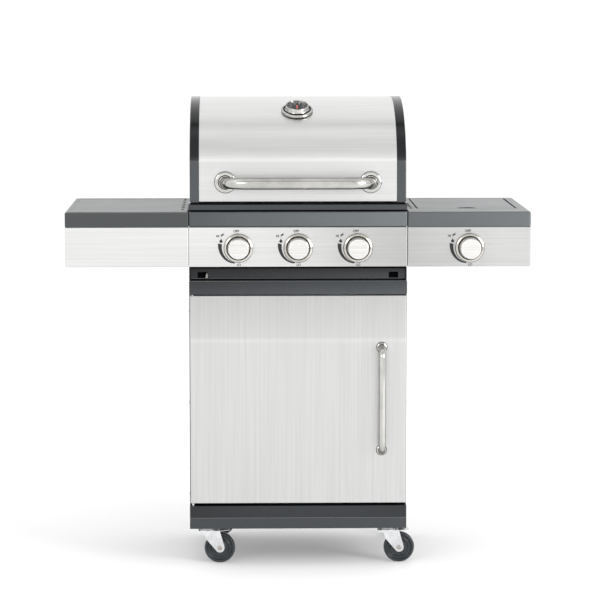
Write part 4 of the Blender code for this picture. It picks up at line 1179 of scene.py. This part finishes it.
def make_casters():
    axle_z = (low("caster_wheel_front_left").z + high("caster_wheel_front_left").z) / 2
    for word in CORNERS:
        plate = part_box(f"caster_plate_{word}")
        x = (plate[0].x + plate[1].x) / 2
        y = (plate[0].y + plate[1].y) / 2
        top = plate[1].z
        swivel = Matrix.Translation((x, y, 0))
        flange = box((plate[0].x, plate[0].y, top - 0.0025), (plate[1].x, plate[1].y, top), 0.0007)
        race = turned(filleted([(0, 0.0828), (0.0180, 0.0828), (0.0225, 0.0860), (0.0228, 0.0885),
                                (0.0215, top - 0.0012), (0, top - 0.0012)], 0.0012), 64, swivel)
        stand_in(f"caster_plate_{word}", joined(flange, race), zinc, "zinc")
        # black ring round the race paints the shade between the plate and the fork
        race_shadow = turned(filleted([(0.0229, 0.0868), (0.0238, 0.0872), (0.0238, top - 0.0034),
                                (0.0229, top - 0.0030), (0.0229, 0.0868)], 0.0002), 64, swivel)
        dark(f"caster_race_shadow_{word}", race_shadow)
        softened(f"caster_fork_{word}", zinc, "zinc", 0.0005, f"fork_{word}")
        axle = Matrix.Translation((x + 0.0285, y, axle_z))
        piece(f"caster_wheel_{word}.fine", wheel_mesh(axle), tyre, f"wheel_{word}", "tyre",
              f"caster_wheel_{word}")
        nuts = []
        for side in (-1, 1):
            nut = hexagon(0.0066, 0.0, 0.0022)
            nut.transform(axle @ pointing((0, side * 0.0133, 0), (0, side, 0)))
            nuts.append(nut)
        piece(f"caster_nuts_{word}", joined(*nuts), burner_steel, f"fork_{word}", "zinc")
        if word.startswith("front"):
            softened(f"caster_brake_{word}", zinc, "zinc", 0.0004, f"brake_{word}")


# --- studio ---
def make_floor():
    size = 150.0
    work = bmesh.new()
    bmesh.ops.create_grid(work, x_segments=8, y_segments=8, size=size)
    floor = shown(mesh_from(work), "floor")
    pale = finish("studio_floor", (0.80, 0.80, 0.80), 0.6,
                  Emission_Color=(1, 1, 1, 1), Emission_Strength=0.16)
    tinted(pale, grain(pale, 0.8, 2.0), (0.79, 0.79, 0.79), (0.82, 0.82, 0.82))
    floor.data.materials.append(pale)


def make_world():
    """White studio surround; reflections also see a dim patch in front and a dark strip overhead."""
    world = bpy.data.worlds.new("studio")
    bpy.context.scene.world = world
    world.use_nodes = True
    tree = world.node_tree
    place = node(tree, "TexCoord").outputs["Generated"]

    def facing(rise):
        """How far a direction points to the front at that rise."""
        lean = node(tree, "VectorMath")
        lean.operation = 'DOT_PRODUCT'
        lean.inputs[1].default_value = (0, -cos(radians(rise)), sin(radians(rise)))
        tree.links.new(place, lean.inputs[0])
        return lean.outputs["Value"]

    size = node(tree, "Math")
    size.operation = 'ABSOLUTE'
    tree.links.new(facing(15), size.inputs[0])
    patch = levels(tree, facing(48), (
        (0.0, 0.95), (0.66, 0.98), (0.75, 1.20), (0.80, 1.0), (0.88, 0.72), (1.0, 0.66)))
    strip = levels(tree, size.outputs["Value"], ((0.0, 0.20), (0.04, 0.25), (0.09, 1.0)))
    seen = node(tree, "Mix")
    seen.data_type = 'RGBA'
    seen.inputs[7].default_value = (1, 1, 1, 1)
    tree.links.new(node(tree, "LightPath").outputs["Is Camera Ray"], seen.inputs[0])
    tree.links.new(product(tree, patch, strip), seen.inputs[6])
    background = tree.nodes["Background"]
    background.inputs["Strength"].default_value = 1.25
    tree.links.new(seen.outputs[2], background.inputs["Color"])


def softbox(name, place, target, width, height, power):
    light = bpy.data.lights.new(name, 'AREA')
    light.shape = 'RECTANGLE'
    light.size = width
    light.size_y = height
    light.energy = power
    item = shown(light, name)
    item.location = place
    aim = Vector(target) - Vector(place)
    item.rotation_euler = aim.to_track_quat('-Z', 'Y').to_euler()


def make_lights():
    softbox("front_left", (-3.6, -6.2, 3.0), (-1.4, -5.0, 0.0), 3.0, 2.4, 60)
    softbox("front_strip", (0, -5.2, 3.9), (0, 0, 0.9), 5.0, 0.35, 11)
    softbox("right_fill", (3.0, -2.6, 1.7), (0.3, 0, 0.8), 1.4, 1.8, 70)


def make_camera():
    """Camera fitted to the photo's main corners."""
    lens = bpy.data.cameras.new("camera")
    lens.sensor_width = 36
    lens.lens = 160.76
    lens.clip_end = 200
    item = shown(lens, "camera")
    item.location = (-0.1420, -6.6490, 1.3858)
    item.rotation_euler = (radians(90 - 6.47), 0, radians(-1.30))
    bpy.context.scene.camera = item


make_lid()
make_thermometer()
make_knobs()
make_panels()
make_table_tops()
make_table_gaps()
make_side_lid()
make_side_burner()
make_firebox()
make_cabinet()
make_beams()
make_door()
make_door_handle()
make_fasteners()
make_casters()
make_floor()
make_world()
make_lights()
make_camera()
bpy.context.scene.view_settings.view_transform = 'Standard'
